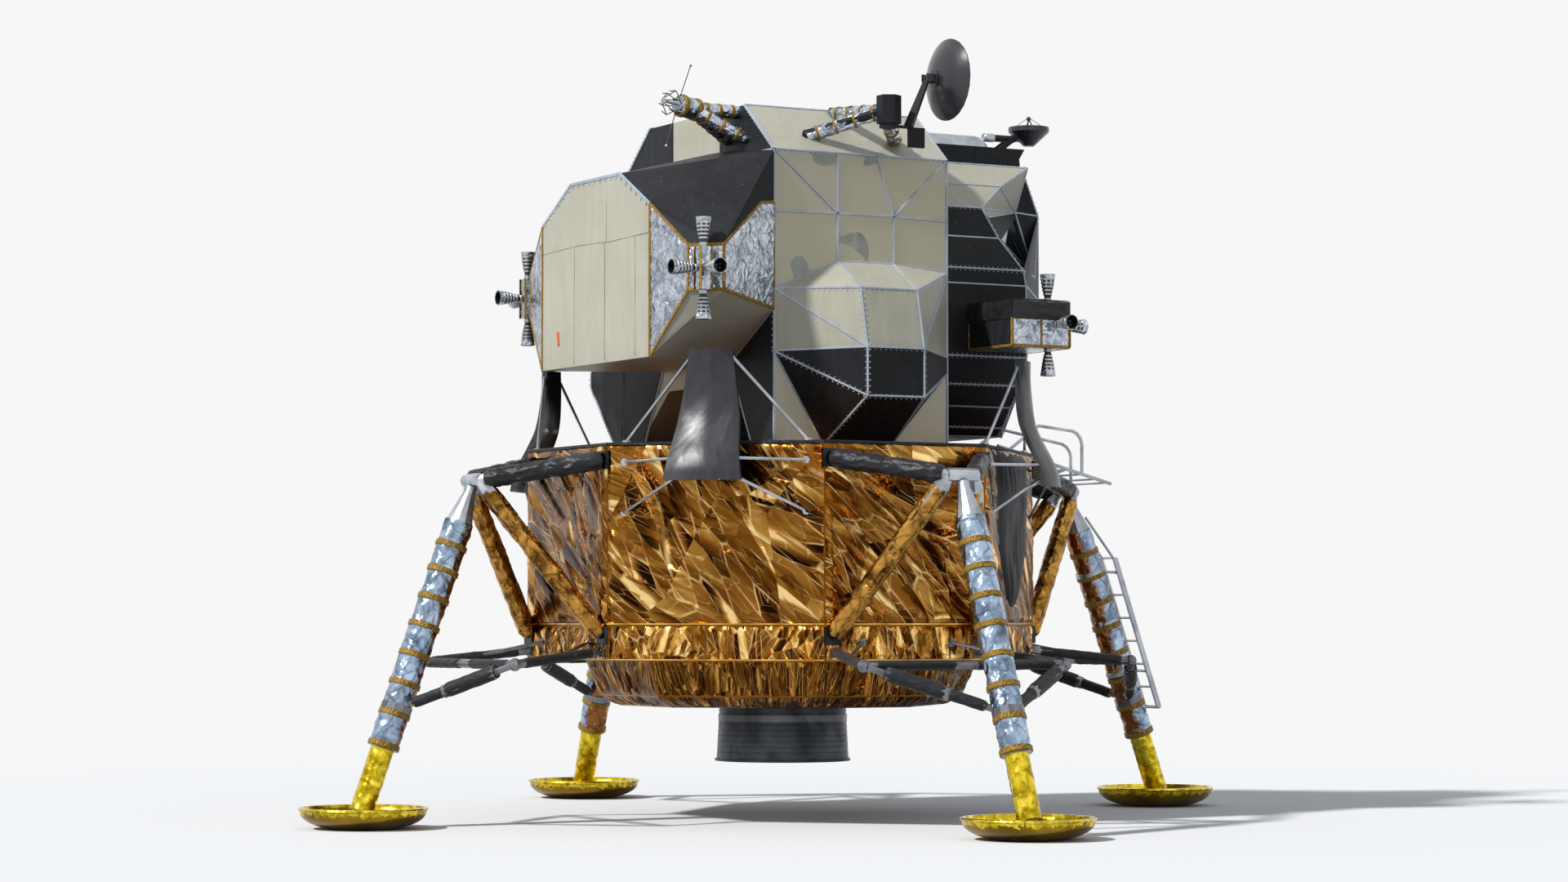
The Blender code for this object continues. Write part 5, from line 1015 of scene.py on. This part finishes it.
def dress_faces(node, look_of, bare=(), **cuts):
    """Panels and trim over every outer face of a faceted node; look_of picks each face's look."""
    shapes, seams, dots, tape = {}, [], [], []
    for index, (normal, corners, area) in enumerate(hull_faces(node, **cuts)):
        look = look_of(normal, sum(corners, Vector()) / len(corners))
        if area < LEAST_FACE or look is None:
            continue
        crumpled = look == "crinkle"
        bulge = 0.012 if crumpled else 0.004
        plate(corners, shapes.setdefault(look, []), bulge=bulge, seed=index * 2.3)
        if crumpled:
            edge_strips(corners, normal, tape, None, SEAM_WIDTH * 1.6)
        elif look not in bare:
            edge_strips(corners, normal, seams, dots)
    for look, made in shapes.items():
        piece(f"{node}_{look}_panels", made, look, angle=20)
    trims = (("seams", seams, "seam"), ("rivets", dots, "rivet"), ("tape", tape, "ochre"))
    for label, made, look in trims:
        if made:
            piece(f"{node}_{label}", made, look, smooth=label != "seams")
    finish_nodes("dark", node)


BAY_SPLIT_Z = 4.175
BAY_SPLIT = Vector((-1.98, 0, BAY_SPLIT_Z)), Vector((-0.025, 0, -0.52)).normalized()
AFT_FACE_Y, AFT_SEAM_Z = 1.927, 5.165
RADAR_FEED, RADAR_DRUM_END = (-0.05, -2.67, 6.582), (-0.05, -2.16, 6.380)
FOLD_LINE = ((1.587, 5.02), (1.084, 5.43), (MID_AFT, 5.453))  # the side foil's upper edge, y and z


def fold_planes():
    """The planes through the stretches of FOLD_LINE, each with its normal upward."""
    planes = []
    for (ay, az), (by, bz) in zip(FOLD_LINE, FOLD_LINE[1:]):
        planes.append((Vector((0, ay, az)), Vector((0, az - bz, by - ay)).normalized() * -1))
    return planes


def dress_bays():
    def starboard(normal, middle):
        if normal.x > 0.5 or normal.z < -0.9:
            return None
        return "cream" if middle.z > BAY_SPLIT_Z else "dark"

    def port(normal, middle):
        return None if normal.x < -0.5 else "dark"

    folds = fold_planes()

    def aft(normal, middle):
        if normal.y < -0.5:
            return None
        if normal.y > 0.99 or normal.z < -0.3:
            return "cream"
        above = any((middle - fold).dot(up) > 0 for fold, up in folds)
        return "dark" if normal.z > 0.3 or (abs(normal.x) > 0.8 and above) else "crinkle"

    def sides(normal):
        return abs(normal.x) > 0.8

    dress_faces("starboard_tank_bay", starboard, cut=[BAY_SPLIT])
    dress_faces("port_tank_bay", port)
    dress_faces("aft_equipment_bay", aft, cut=folds, parted=sides, bare=("dark", "cream"))
    dress_aft_face()


AFT_SEAM_LINES = (
    # x and z of both ends
    ((0.41, AFT_SEAM_Z), (0.41, 4.105)),
    ((-0.21, AFT_SEAM_Z), (-0.21, 4.105)),
    ((-0.81, AFT_SEAM_Z), (-0.81, 4.105)),
    ((-0.24, 5.56), (-0.24, AFT_SEAM_Z)),
    ((1.075, AFT_SEAM_Z - 0.01), (0.32, AFT_SEAM_Z + 0.012)),
    ((0.32, AFT_SEAM_Z + 0.012), (-0.30, AFT_SEAM_Z - 0.008)),
    ((-0.30, AFT_SEAM_Z - 0.008), (-1.075, AFT_SEAM_Z + 0.006)),
)
AFT_TOP_EDGE = ((1.083, 5.42), (0.495, 5.745), (-0.495, 5.745), (-1.083, 5.42))
AFT_LOW_Z = 4.087


def dress_aft_face():
    """The aft bay's flat face: thin seams, a light trim with clips round its top, one small marker."""
    out = (0, 1, 0)

    def line(start, end, width, thick):
        (ax, az), (bx, bz) = start, end
        return strip((ax, AFT_FACE_Y, az), (bx, AFT_FACE_Y, bz), out, width, thick, 0.004)

    grooves = [line(*ends, 0.007, 0.003) for ends in AFT_SEAM_LINES]
    piece("aft_face_seams", grooves, "groove", smooth=False)
    trims, clips = [], []
    for first, second in zip(AFT_TOP_EDGE, AFT_TOP_EDGE[1:]):
        trims.append(line(first, second, 0.034, 0.006))
        start, end = (Vector((x, AFT_FACE_Y, z)) for x, z in (first, second))
        count = max(round((end - start).length / 0.11), 2)
        inside = Vector(out).cross(end - start).normalized()
        if inside.z > 0:
            inside = -inside
        for index in range(count):
            foot = start.lerp(end, (index + 0.5) / count)
            clips.append(strip(foot, foot + inside * 0.040, out, 0.014, 0.009, 0.004))
    piece("aft_face_trim", trims + clips, "seam", smooth=False)
    corner, top = AFT_TOP_EDGE[0]
    tape = [line((x, AFT_LOW_Z), (x, top), 0.03, 0.007) for x in (corner, -corner)]
    piece("aft_face_tape", tape, "ochre", smooth=False)
    marker = [line((0.726, 4.30), (0.744, 4.42), 0.045, 0.012)]
    piece("aft_face_marker", marker, "marker", smooth=False)


CABIN_RING = (
    # x, z and -y of the cabin's edge, from its top round to its foot
    (0.590, 6.033, 2.300), (0.820, 5.810, 1.854), (0.985, 5.580, 1.540), (1.040, 5.300, 1.690),
    (1.167, 5.000, 1.880), (1.170, 4.860, 1.905), (1.170, 4.200, 1.910), (1.050, 3.950, 1.920),
    (0.870, 3.760, 1.925), (0.720, 3.577, 1.930), (0.620, 3.500, 1.930),
)
CABIN_NOSE = 0.50
CABIN_MIDDLE = Vector((0, -1.2, 4.78))


def cabin_face():
    """The look and corners of each face of the cabin's front on the port side."""
    edge = [(x, -y, z) for x, z, y in CABIN_RING]
    top, front, low, foot = (
        (CABIN_NOSE, y, z) for y, z in ((-2.33, 5.95), (-2.475, 5.60), (-2.475, 4.80), (-2.06, 3.50))
    )
    brow, brow_end, window = (CABIN_NOSE, -2.22, 5.62), (0.90, -1.67, 5.51), (0.70, -2.305, 5.00)
    return (
        ("dark", (brow, top, edge[0])),
        ("cream", (brow, edge[0], edge[1])),
        ("cream", (brow, edge[1], edge[2])),
        ("cream", (brow, edge[2], brow_end)),
        ("dark", (brow, front, top)),
        ("dark", (front, window, brow)),
        ("dark", (window, edge[4], edge[3])),
        ("dark", (front, low, edge[5], edge[4], window)),
        ("dark", (low, foot, edge[6], edge[5])),
        ("dark", (foot, edge[7], edge[6])),
        ("dark", (foot, edge[8], edge[7])),
        ("dark", (foot, edge[9], edge[8])),
    )


def dress_cabin():
    shapes, seams, dots = {"cream": [], "dark": []}, [], []
    back = MID_FRONT - 0.002
    for side in (-1, 1):
        for index, ((xa, za, ya), (xb, zb, yb)) in enumerate(zip(CABIN_RING, CABIN_RING[1:])):
            corners = [(side * xa, back, za), (side * xb, back, zb)]
            corners += [(side * xb, -yb, zb), (side * xa, -ya, za)]
            if side > 0:
                corners.reverse()
            normal = plate(corners, shapes["cream" if index < 2 else "dark"], seed=index)
            edge_strips(corners, normal, seams, dots, CABIN_SEAM_WIDTH)
        for number, (tone, corners) in enumerate(cabin_face()):
            corners = [Vector((side * x, y, z)) for x, y, z in corners]
            middle = sum(corners, Vector()) / len(corners)
            spread = (corners[1] - corners[0]).cross(corners[2] - corners[0])
            if spread.dot(middle - CABIN_MIDDLE) < 0:
                corners.reverse()
            normal = plate(corners, shapes[tone], seed=number, bulge=0.002)
            edge_strips(corners, normal, seams, dots, CABIN_SEAM_WIDTH)
    for tone, made in shapes.items():
        piece(f"cabin_{tone}_panels", made, tone, angle=20)
    piece("cabin_seams", seams, "seam", smooth=False)
    piece("cabin_rivets", dots, "rivet")
    finish_nodes("glass", "window_glass_starboard", "window_glass_port")
    finish_nodes("dark", "cabin_shell", "cabin_face", "forward_hatch", "roof_block", "radar_mount")
    finish_nodes("dark", "radar_gimbal", "ascent_engine_cover")
    finish_nodes("metal", "overhead_hatch", "docking_tunnel", "roof_fairing", "porch", "engine_gimbal_ring")


WHIP_TOP, WHIP_FOOT = (-0.80, 1.38, 6.71), (-0.80, 1.62, 5.98)
JET_AT, JET_AFT_Z, JET_FORE_Z = 1.760, 4.810, 4.455
JET_MOUTH, JET_LENGTH, JET_WALL = 0.064, 0.265, 0.009
JET_NECK, JET_BLOCK_HALF = 0.05, 0.055
JET_RIB_HEIGHTS = (0.085, 0.118, 0.151, 0.184, 0.217)


def jet_radius(height):
    share = max(height - JET_NECK, 0) / (JET_LENGTH - JET_NECK)
    return 0.029 + (JET_MOUTH - 0.031) * math.sin(share * math.pi / 2)


def jet_wall(lip):
    """The outline of a nozzle's inside, from its mouth in."""
    return [(JET_MOUTH - JET_WALL, lip), (JET_MOUTH * 0.72, JET_LENGTH * 0.62), (0.02, JET_LENGTH * 0.32)]


def jet_shape(place, way):
    """A thruster nozzle: a narrow inlet, then a flared bell."""
    ribs = 10
    outer = [(0.03, 0.0), (0.031, 0.02), (0.029, 0.045)]
    for step in range(ribs + 1):
        height = JET_NECK + (JET_LENGTH - JET_NECK) * step / ribs
        outer.append((jet_radius(height), height))
    outer.append((JET_MOUTH, JET_LENGTH))
    profile = [(0, 0), *outer, *jet_wall(JET_LENGTH), (0, JET_LENGTH * 0.30)]
    return turned(profile, place, way, 32)


def jet_shade_liner(place, way):
    """A near-black sheet inside a nozzle: painted shade in its hollow."""
    skin = 0.002
    wall = jet_wall(JET_LENGTH - skin)
    inside = [(radius - skin, height + skin / 2) for radius, height in reversed(wall)]
    floor = [(0, JET_LENGTH * 0.32), (0, JET_LENGTH * 0.33)]
    return turned([*wall, *floor, *inside], place, way, 32)


def jet_rings(place, way):
    """The pale ribs round a nozzle and its bright inlet."""
    way = Vector(way)
    rings = [ring_band(place + way * 0.030, way, 0.032, 0.034, 0.003, 24)]
    for height in JET_RIB_HEIGHTS:
        rings.append(ring_band(place + way * height, way, jet_radius(height), 0.017, 0.0035, 32))
    rings.append(ring_band(place + way * (JET_LENGTH - 0.007), way, JET_MOUTH, 0.012, 0.003, 32))
    return rings


FORE_BOX = ((1.17, 1.90), (1.29, 1.90), (4.25, 4.66))
FORE_COVER_Z = 4.50


def dress_fore_box(name, sx):
    """Silver foil with taped edges round the lower part of a forward jet box, under a black cover."""
    (x_in, x_out), (y_back, y_front), (low, high) = FORE_BOX
    corners = [(sx * x_in, -y_back), (sx * x_out, -y_back)]
    corners += [(sx * x_out, -y_front), (sx * x_in, -y_front)]
    shapes, tape = {"dark": [], "crinkle": [], "crumple": []}, []
    for (ax, ay), (bx, by), look in zip(corners, corners[1:], ("dark", "crinkle", "crinkle")):
        def wall(bottom, top):
            outline = [(ax, ay, bottom), (bx, by, bottom), (bx, by, top), (ax, ay, top)]
            return outline[::-1] if sx > 0 else outline

        lower = wall(low, FORE_COVER_Z)
        normal = plate(lower, shapes[look], bulge=0.008, seed=ax)
        edge_strips(lower, normal, tape, None, SEAM_WIDTH * 1.6)
        if look == "crinkle":
            middle = (Vector((ax, ay, low)) + Vector((bx, by, low))) / 2
            rise = Vector((0, 0, FORE_COVER_Z - low))
            tape.append(strip(middle, middle + rise, normal, 0.024, 0.006, 0.010))
        upper = wall(FORE_COVER_Z - 0.01, high)
        plate(upper, shapes["crumple"], bulge=0.020, lift=0.012, seed=ay, thick=0.012)
    for look, level, drop in (("crumple", high, 1), ("crinkle", low, -1)):
        outline = [(x, y, level) for x, y in corners]
        if sx * drop > 0:
            outline.reverse()
        plate(outline, shapes[look], bulge=0.010, lift=0.010, seed=level)
    for look, made in shapes.items():
        piece(f"jet_box_{name}_{look}", made, look, angle=30)
    piece(f"jet_box_{name}_tape", tape, "ochre", smooth=False)


def dress_jets():
    for name, _, sx, sy in CORNERS:
        aft = sy > 0
        z = JET_AFT_Z if aft else JET_FORE_Z
        centre = Vector((sx * JET_AT, sy * JET_AT, z))
        rise, start = (0.185, JET_BLOCK_HALF) if aft else (0.205, 0.14)
        nozzles = [(centre + Vector(way) * (rise - 0.01), way) for way in ((0, 0, 1), (0, 0, -1))]
        nozzles += [(centre + Vector(way) * (start - 0.01), way) for way in ((sx, 0, 0), (0, sy, 0))]
        piece(f"jets_{name}", [jet_shape(*nozzle) for nozzle in nozzles], "bell")
        # near-black liners: painted shade inside each nozzle
        piece(f"jet_shade_liners_{name}", [jet_shade_liner(*nozzle) for nozzle in nozzles], "nozzle_shade")
        rings = [ring for nozzle in nozzles for ring in jet_rings(*nozzle)]
        piece(f"jet_rings_{name}", rings, "band")
        finish_nodes("crinkle", f"jet_cluster_{name}")
        if not aft:
            dress_fore_box(name, sx)
            continue
        tape = []
        for dx, dy in ((sx, sy), (sx, -sy), (-sx, sy)):
            x, y = centre.x + dx * JET_BLOCK_HALF, centre.y + dy * JET_BLOCK_HALF
            tape.append(strip((x, y, z - rise), (x, y, z + rise), (dx, dy, 0), 0.024, 0.004, 0.002))
        piece(f"jet_box_{name}_tape", tape, "ochre", smooth=False)


def bell_shape():
    """The big engine bell: a short ribbed skirt with a rolled lip, smooth inside."""
    exit_z, top_z, grooves, deep = 0.512, 1.30, 15, 0.005
    outer = [(0.618, exit_z), (0.622, exit_z + 0.006), (0.622, exit_z + 0.020), (0.606, exit_z + 0.024)]
    pitch = (top_z - exit_z - 0.03) / grooves
    for groove in range(1, grooves):
        z = exit_z + 0.03 + pitch * groove
        radius = 0.604 + (0.565 - 0.604) * groove / grooves
        outer += [(radius, z), (radius - deep, z + 0.002)]
        outer += [(radius - deep, z + 0.008), (radius, z + 0.010)]
    dome = [(0.565, top_z), (0.50, 1.36), (0.36, 1.42), (0.20, 1.455)]
    dome += [(0.17, 1.50), (0.17, 1.66), (0, 1.66)]
    inside = [(0, 1.44), (0.15, 1.43), (0.34, 1.39), (0.49, 1.33)]
    inside += [(0.545, 1.27), (0.565, 1.0), (0.58, exit_z)]
    return turned([*outer, *dome, *inside], sides=96)


def dish_shape(hub):
    radius, deep, wall, rows = 0.366, 0.135, 0.010, 16
    back = hub.y - 0.075
    front, rear = [], []
    for row in range(rows + 1):
        share = row / rows
        rear.append((radius * share, deep * share * share))
        front.append((radius * share - (0.004 if row == rows else 0), deep * share * share + wall))
    return turned([*rear, *reversed(front)], (hub.x, back, hub.z), (0, -1, 0), 96)


def antenna_shapes(cap, tip, way):
    """The small antenna's cap, rod and end disc, and apart from them its bent wires and whips."""
    head = [rod(cap - way * 0.01, cap + way * 0.012, 0.072, 32), rod(cap, tip, 0.013)]
    head.append(rod(tip - way * 0.006, tip + way * 0.006, 0.036, 24))
    turn = frame_to((0, 0, 0), way)
    span = (tip - cap).length
    wire, wires = 0.0045, []
    for index in range(6):
        a = math.pi / 3 * index + 0.3
        out = turn @ Vector((math.cos(a), math.sin(a), 0))
        corner = cap + way * span * 0.45 + out * 0.115
        flare = cap + way * span * 0.85 + out * 0.095
        pairs = (cap + out * 0.055, corner), (corner, tip + out * 0.030), (corner, flare)
        wires += [rod(start, end, wire, 8) for start, end in pairs]
    for top in (WHIP_TOP, WHIP_FOOT):
        wires.append(rod(cap, top, wire, 8))
        head.append(ball(top, 0.014))
    return head, wires


def ball(place, radius, rows=8, sides=16):
    angles = [math.pi * row / rows for row in range(rows + 1)]
    profile = [(radius * math.sin(angle), -radius * math.cos(angle)) for angle in angles]
    profile[0], profile[-1] = (0, -radius), (0, radius)
    return turned(profile, place, (0, 0, 1), sides)


def braced(feet, apex, kind, start, end, seed, taped, band):
    """Wrapped legs from feet to an apex, with tape bands at shares of their length."""
    wraps, tapes = [], []
    for index, foot in enumerate(feet):
        way = (apex - foot).normalized()
        tube = wrapped_tube(foot + way * start, apex - way * end, kind, index * seed)
        wraps.append(tube)
        tapes += [ring_band(foot.lerp(apex, share), way, *band, 28) for share in taped]
    return wraps, tapes


def dress_dishes():
    piece("steerable_dish_shell", [dish_shape(Vector((-1.75, -0.50, 6.61)))], "dish", "sband_dish")
    finish_nodes("dish", "sband_dish", "radar_dish")
    finish_nodes("dark", "sband_arm", "sband_mount")
    feet = []
    for y, z in ((0.471, 6.08), (0.027, 6.345), (-0.451, 6.071)):
        share = (z - SHOULDER_Z) / (ROOF_Z - SHOULDER_Z)
        feet.append(Vector((-MID_HALF + (MID_HALF - ROOF_HALF) * share, y, z)))
    head = Vector((-1.75, -0.10, 6.30)) + Vector((0.09, 0, 0))
    bands = (0.15, 0.38, 0.62, 0.86)
    wraps, tapes = braced(feet, head, "dish_leg", 0.01, 0.03, 4.4, bands, (0.061, 0.024, 0.007))
    piece("sband_mount_foil", wraps, "crinkle")
    piece("sband_mount_tape", tapes, "ochre")
    dress_antenna()
    dress_radar()
    bell = {"body": "engine_bell", "angle": 30, "replaces": ["engine_bell"]}
    piece("engine_bell_shell", [bell_shape()], "bell", **bell)
    band = ring_band((0, 0, 0.905), (0, 0, 1), 0.587, 0.060, 0.002, 96)
    piece("engine_bell_band", [band], "bell_band", "engine_bell")


def dress_antenna():
    """The small antenna on its three-legged mount."""
    apex, tip = Vector((-0.80, 1.39, 6.33)), Vector((-0.86, 1.68, 6.37))
    trunk = (tip - apex).normalized()
    near, far = apex - trunk * 0.12, apex + trunk * 0.14
    feet = [Vector((x, MID_AFT, z)) for x, z in ((-0.95, 6.07), (-0.62, 6.09), (-0.81, 6.32))]
    bands = (0.16, 0.42, 0.68)
    legs = braced(feet, apex, "antenna_leg", 0.0, 0.06, 6.1, bands, (0.058, 0.030, 0.008))
    wraps = [wrapped_tube(near, far, "antenna_trunk", 3.3), *legs[0]]
    tapes = [ring_band(near.lerp(far, share), trunk, 0.094, 0.042, 0.009, 36) for share in (0.22, 0.82)]
    piece("vhf_mount_foil", wraps, "crinkle")
    piece("vhf_mount_tape", tapes + legs[1], "ochre")
    head, wires = antenna_shapes(far, tip, trunk)
    piece("vhf_antenna_head", head, "metal", angle=30, replaces=["vhf_antenna"])
    piece("vhf_antenna_wires", wires, "bell", angle=30)


def dress_radar():
    """The feed before the radar's dish, on three bent spokes, and the sleeve on its drum."""
    x, y, z = RADAR_FEED
    feed = Vector(RADAR_FEED)
    spokes = [rod((x - 0.006, y, z), (x + 0.006, y, z), 0.020)]
    for index in range(3):
        a = math.pi * (2 * index / 3 + 0.5)
        out = Vector((math.cos(a), math.sin(a), 0))
        spokes.append(rod(Vector((x, y, z - 0.085)) + out * 0.158, feed + out * 0.034, 0.004, 8))
        spokes.append(rod(feed + out * 0.034, Vector((x, y, z - 0.004)), 0.005, 8))
    piece("radar_feed_spokes", spokes, "metal", "radar_dish", angle=30)
    x, y, z = RADAR_DRUM_END
    sleeve = [ring_band((x, y - 0.055, z), (0, 1, 0), 0.039, 0.100, 0.003, 32)]
    sleeve.append(rod((x, y - 0.004, z), (x, y + 0.002, z), 0.035, 32))
    piece("radar_drum_sleeve", sleeve, "metal", "radar_gimbal", angle=30)


def shell_faces(rows, columns):
    """The faces of a thin closed sheet over two layers of a grid of points."""
    wide = columns + 1
    back = wide * (rows + 1)
    faces = []
    for row in range(rows):
        for column in range(columns):
            a = row * wide + column
            faces.append((a, a + 1, a + 1 + wide, a + wide))
            faces.append((back + a, back + a + wide, back + a + 1 + wide, back + a + 1))
        for a in (row * wide, row * wide + columns):
            faces.append((a, a + wide, back + a + wide, back + a))
    for column in range(columns):
        for a in (column, rows * wide + column):
            faces.append((a, a + 1, back + a + 1, back + a))
    return faces


DEFLECTOR_ROWS = (
    # height, reach from the centre line, half width
    (4.13, 2.285, 0.190), (3.84, 2.290, 0.225), (3.56, 2.325, 0.265),
    (3.36, 2.420, 0.290), (3.18, 2.520, 0.315), (2.99, 2.565, 0.345),
)


def deflector_sheet():
    """A jet deflector's bowed sheet, bent smoothly outward towards its foot."""
    columns, steps, bow, thick, skin = 20, 6, 0.05, 0.02, 0.012
    fine = []
    for first, second in zip(DEFLECTOR_ROWS, DEFLECTOR_ROWS[1:]):
        for step in range(steps):
            fine.append(tuple(a + (b - a) * (step / steps) for a, b in zip(first, second)))
    fine.append(DEFLECTOR_ROWS[-1])
    smoothed = []
    for index, (z, _, half) in enumerate(fine):
        near = fine[max(index - 3, 0): index + 4]
        smoothed.append((z, sum(item[1] for item in near) / len(near), half))
    points = []
    for lift in (-skin, thick + skin):
        for z, out, half in smoothed:
            for column in range(columns + 1):
                share = 2 * column / columns - 1
                wave = 0.010 * noise.noise(Vector((share * 1.5, z * 3.5, 4.2)))
                points.append((share * (half + 0.004), out + lift - bow * share * share + wave, z))
    return points, shell_faces(len(smoothed) - 1, columns)


COVER_LEVELS = ((3.30, 0.68), (2.45, 0.55), (1.89, 0.08))  # height and half width: top, bend, tied end
COVER_THICK = 0.006


def cover_shape():
    """The cloth cover, one thin sheet: a crowned middle and creases that run to its tied end."""
    rows, columns = 60, 36
    face = DIAGONAL_FACE + 0.006
    top, mid, tip = COVER_LEVELS

    def half_at(z):
        upper, lower = (top, mid) if z > mid[0] else (mid, tip)
        share = (z - lower[0]) / (upper[0] - lower[0])
        return lower[1] + (upper[1] - lower[1]) * share

    points = []
    for layer in (0, 1):
        for row in range(rows + 1):
            z = top[0] + (tip[0] - top[0]) * row / rows
            half = half_at(z)
            for column in range(columns + 1):
                share = 2 * column / columns - 1
                crown = (1 - share ** 4) * (1 - (2 * row / rows - 1) ** 6)
                crease = 0.018 * (1 - abs(noise.noise(Vector((share * 5, z * 1.4, 2.2)))) * 2)
                out = face + layer * COVER_THICK + crown * (0.056 + crease)
                points.append((share * half, out, z))
    return points, shell_faces(rows, columns)


def dress_fittings():
    for name, turn, _, _ in CORNERS:
        piece(f"deflector_sheet_{name}", [turn_points(deflector_sheet(), turn)], "sheet")
        finish_nodes("metal", f"jet_deflector_{name}")
    made = piece("cover_cloth", [turn_points(cover_shape(), 135)], "cover", replaces=["stowage_cover"])


BACKDROP = 0.93
FLOOR_REACH, FLOOR_FADE = 400.0, (7.0, 24.0)
FLOOR_BOUNCE = 0.22
KEY_FROM, KEY_SPREAD, SUN_ENERGY = (-0.06, 0.72, 0.68), 4, 3.5
FILL_FROM, FILL_SPREAD, FILL_ENERGY = (-0.9, 0.1, 0.35), 40, 0.12
SKY_STRENGTH = 0.42
SKY_TINT = (0.90, 0.97, 1.05)


def level_light(toward, energy):
    """What a sun gives a level floor."""
    return energy * Vector(toward).normalized().z / math.pi


def make_floor():
    """A pale floor that fades into the backdrop's tone away from the craft."""
    mesh = bpy.data.meshes.new("floor")
    signs = ((-1, -1), (1, -1), (1, 1), (-1, 1))
    mesh.from_pydata([(x * FLOOR_REACH, y * FLOOR_REACH, 0) for x, y in signs], [], [(0, 1, 2, 3)])
    floor = bpy.data.objects.new("floor", mesh)
    bpy.context.scene.collection.objects.link(floor)
    s = Shader("floor")
    far = s.fit(s.vector("LENGTH", s.coords("Object")), 0.0, 1.0, *FLOOR_FADE)
    seen = s.seen_rays()
    lit = level_light(KEY_FROM, SUN_ENERGY) + level_light(FILL_FROM, FILL_ENERGY)
    tone = s.fit(seen, FLOOR_BOUNCE, BACKDROP / (lit + SKY_STRENGTH))
    s.set(colour=tone, roughness=1.0)
    s.surface.inputs["Specular IOR Level"].default_value = 0.0
    glow = s.add("ShaderNodeEmission", {"Color": (BACKDROP, BACKDROP, BACKDROP, 1), "Strength": 1.0})
    shares = {0: s.math("MULTIPLY", far, seen), 1: s.surface.outputs[0], 2: glow.outputs[0]}
    mixed = s.add("ShaderNodeMixShader", shares)
    s.put(s.tree.nodes["Material Output"].inputs["Surface"], mixed.outputs[0])
    mesh.materials.append(s.material)


def make_world():
    """The backdrop for rays that the camera sees, and a cooler, dimmer sky as light."""
    world = bpy.data.worlds.new("studio")
    world.use_nodes = True
    bpy.context.scene.world = world
    s = Nodes(world.node_tree)
    sky = tuple(SKY_STRENGTH * part for part in SKY_TINT)
    tone = s.mix(s.seen_rays(), sky, (BACKDROP, BACKDROP, BACKDROP))
    s.put(s.tree.nodes["Background"].inputs["Color"], tone)


def add_sun(name, toward, energy, angle):
    lamp = bpy.data.lights.new(name, "SUN")
    lamp.energy = energy
    lamp.angle = math.radians(angle)
    made = bpy.data.objects.new(name, lamp)
    made.rotation_mode = "QUATERNION"
    made.rotation_quaternion = Vector(toward).to_track_quat("-Z", "Y")
    bpy.context.scene.collection.objects.link(made)


def make_lights():
    add_sun("key", -Vector(KEY_FROM), SUN_ENERGY, KEY_SPREAD)
    add_sun("fill", -Vector(FILL_FROM), FILL_ENERGY, FILL_SPREAD)


def make_camera():
    data = bpy.data.cameras.new("camera")
    data.lens = CAMERA_LENS
    data.sensor_width = CAMERA_SENSOR
    data.sensor_fit = "HORIZONTAL"
    data.shift_x = (IMAGE_WIDTH / 2 - PRINCIPAL_X) / IMAGE_WIDTH
    data.clip_end = 1000
    camera = bpy.data.objects.new("camera", data)
    a = math.radians(CAMERA_AZIMUTH)
    back = Vector((math.sin(a), -math.cos(a), 0))
    camera.location = back * CAMERA_DISTANCE + UP * CAMERA_HEIGHT
    pitch = math.radians(CAMERA_PITCH)
    look = -back * math.cos(pitch) + UP * math.sin(pitch)
    camera.rotation_mode = "QUATERNION"
    camera.rotation_quaternion = look.to_track_quat("-Z", "Y")
    bpy.context.scene.collection.objects.link(camera)
    bpy.context.scene.camera = camera


make_camera()
make_world()
make_lights()
make_floor()
dress_descent_stage()
dress_legs()
dress_middle()
dress_bays()
dress_cabin()
dress_jets()
dress_dishes()
dress_fittings()
bpy.context.scene.view_settings.view_transform = "Standard"
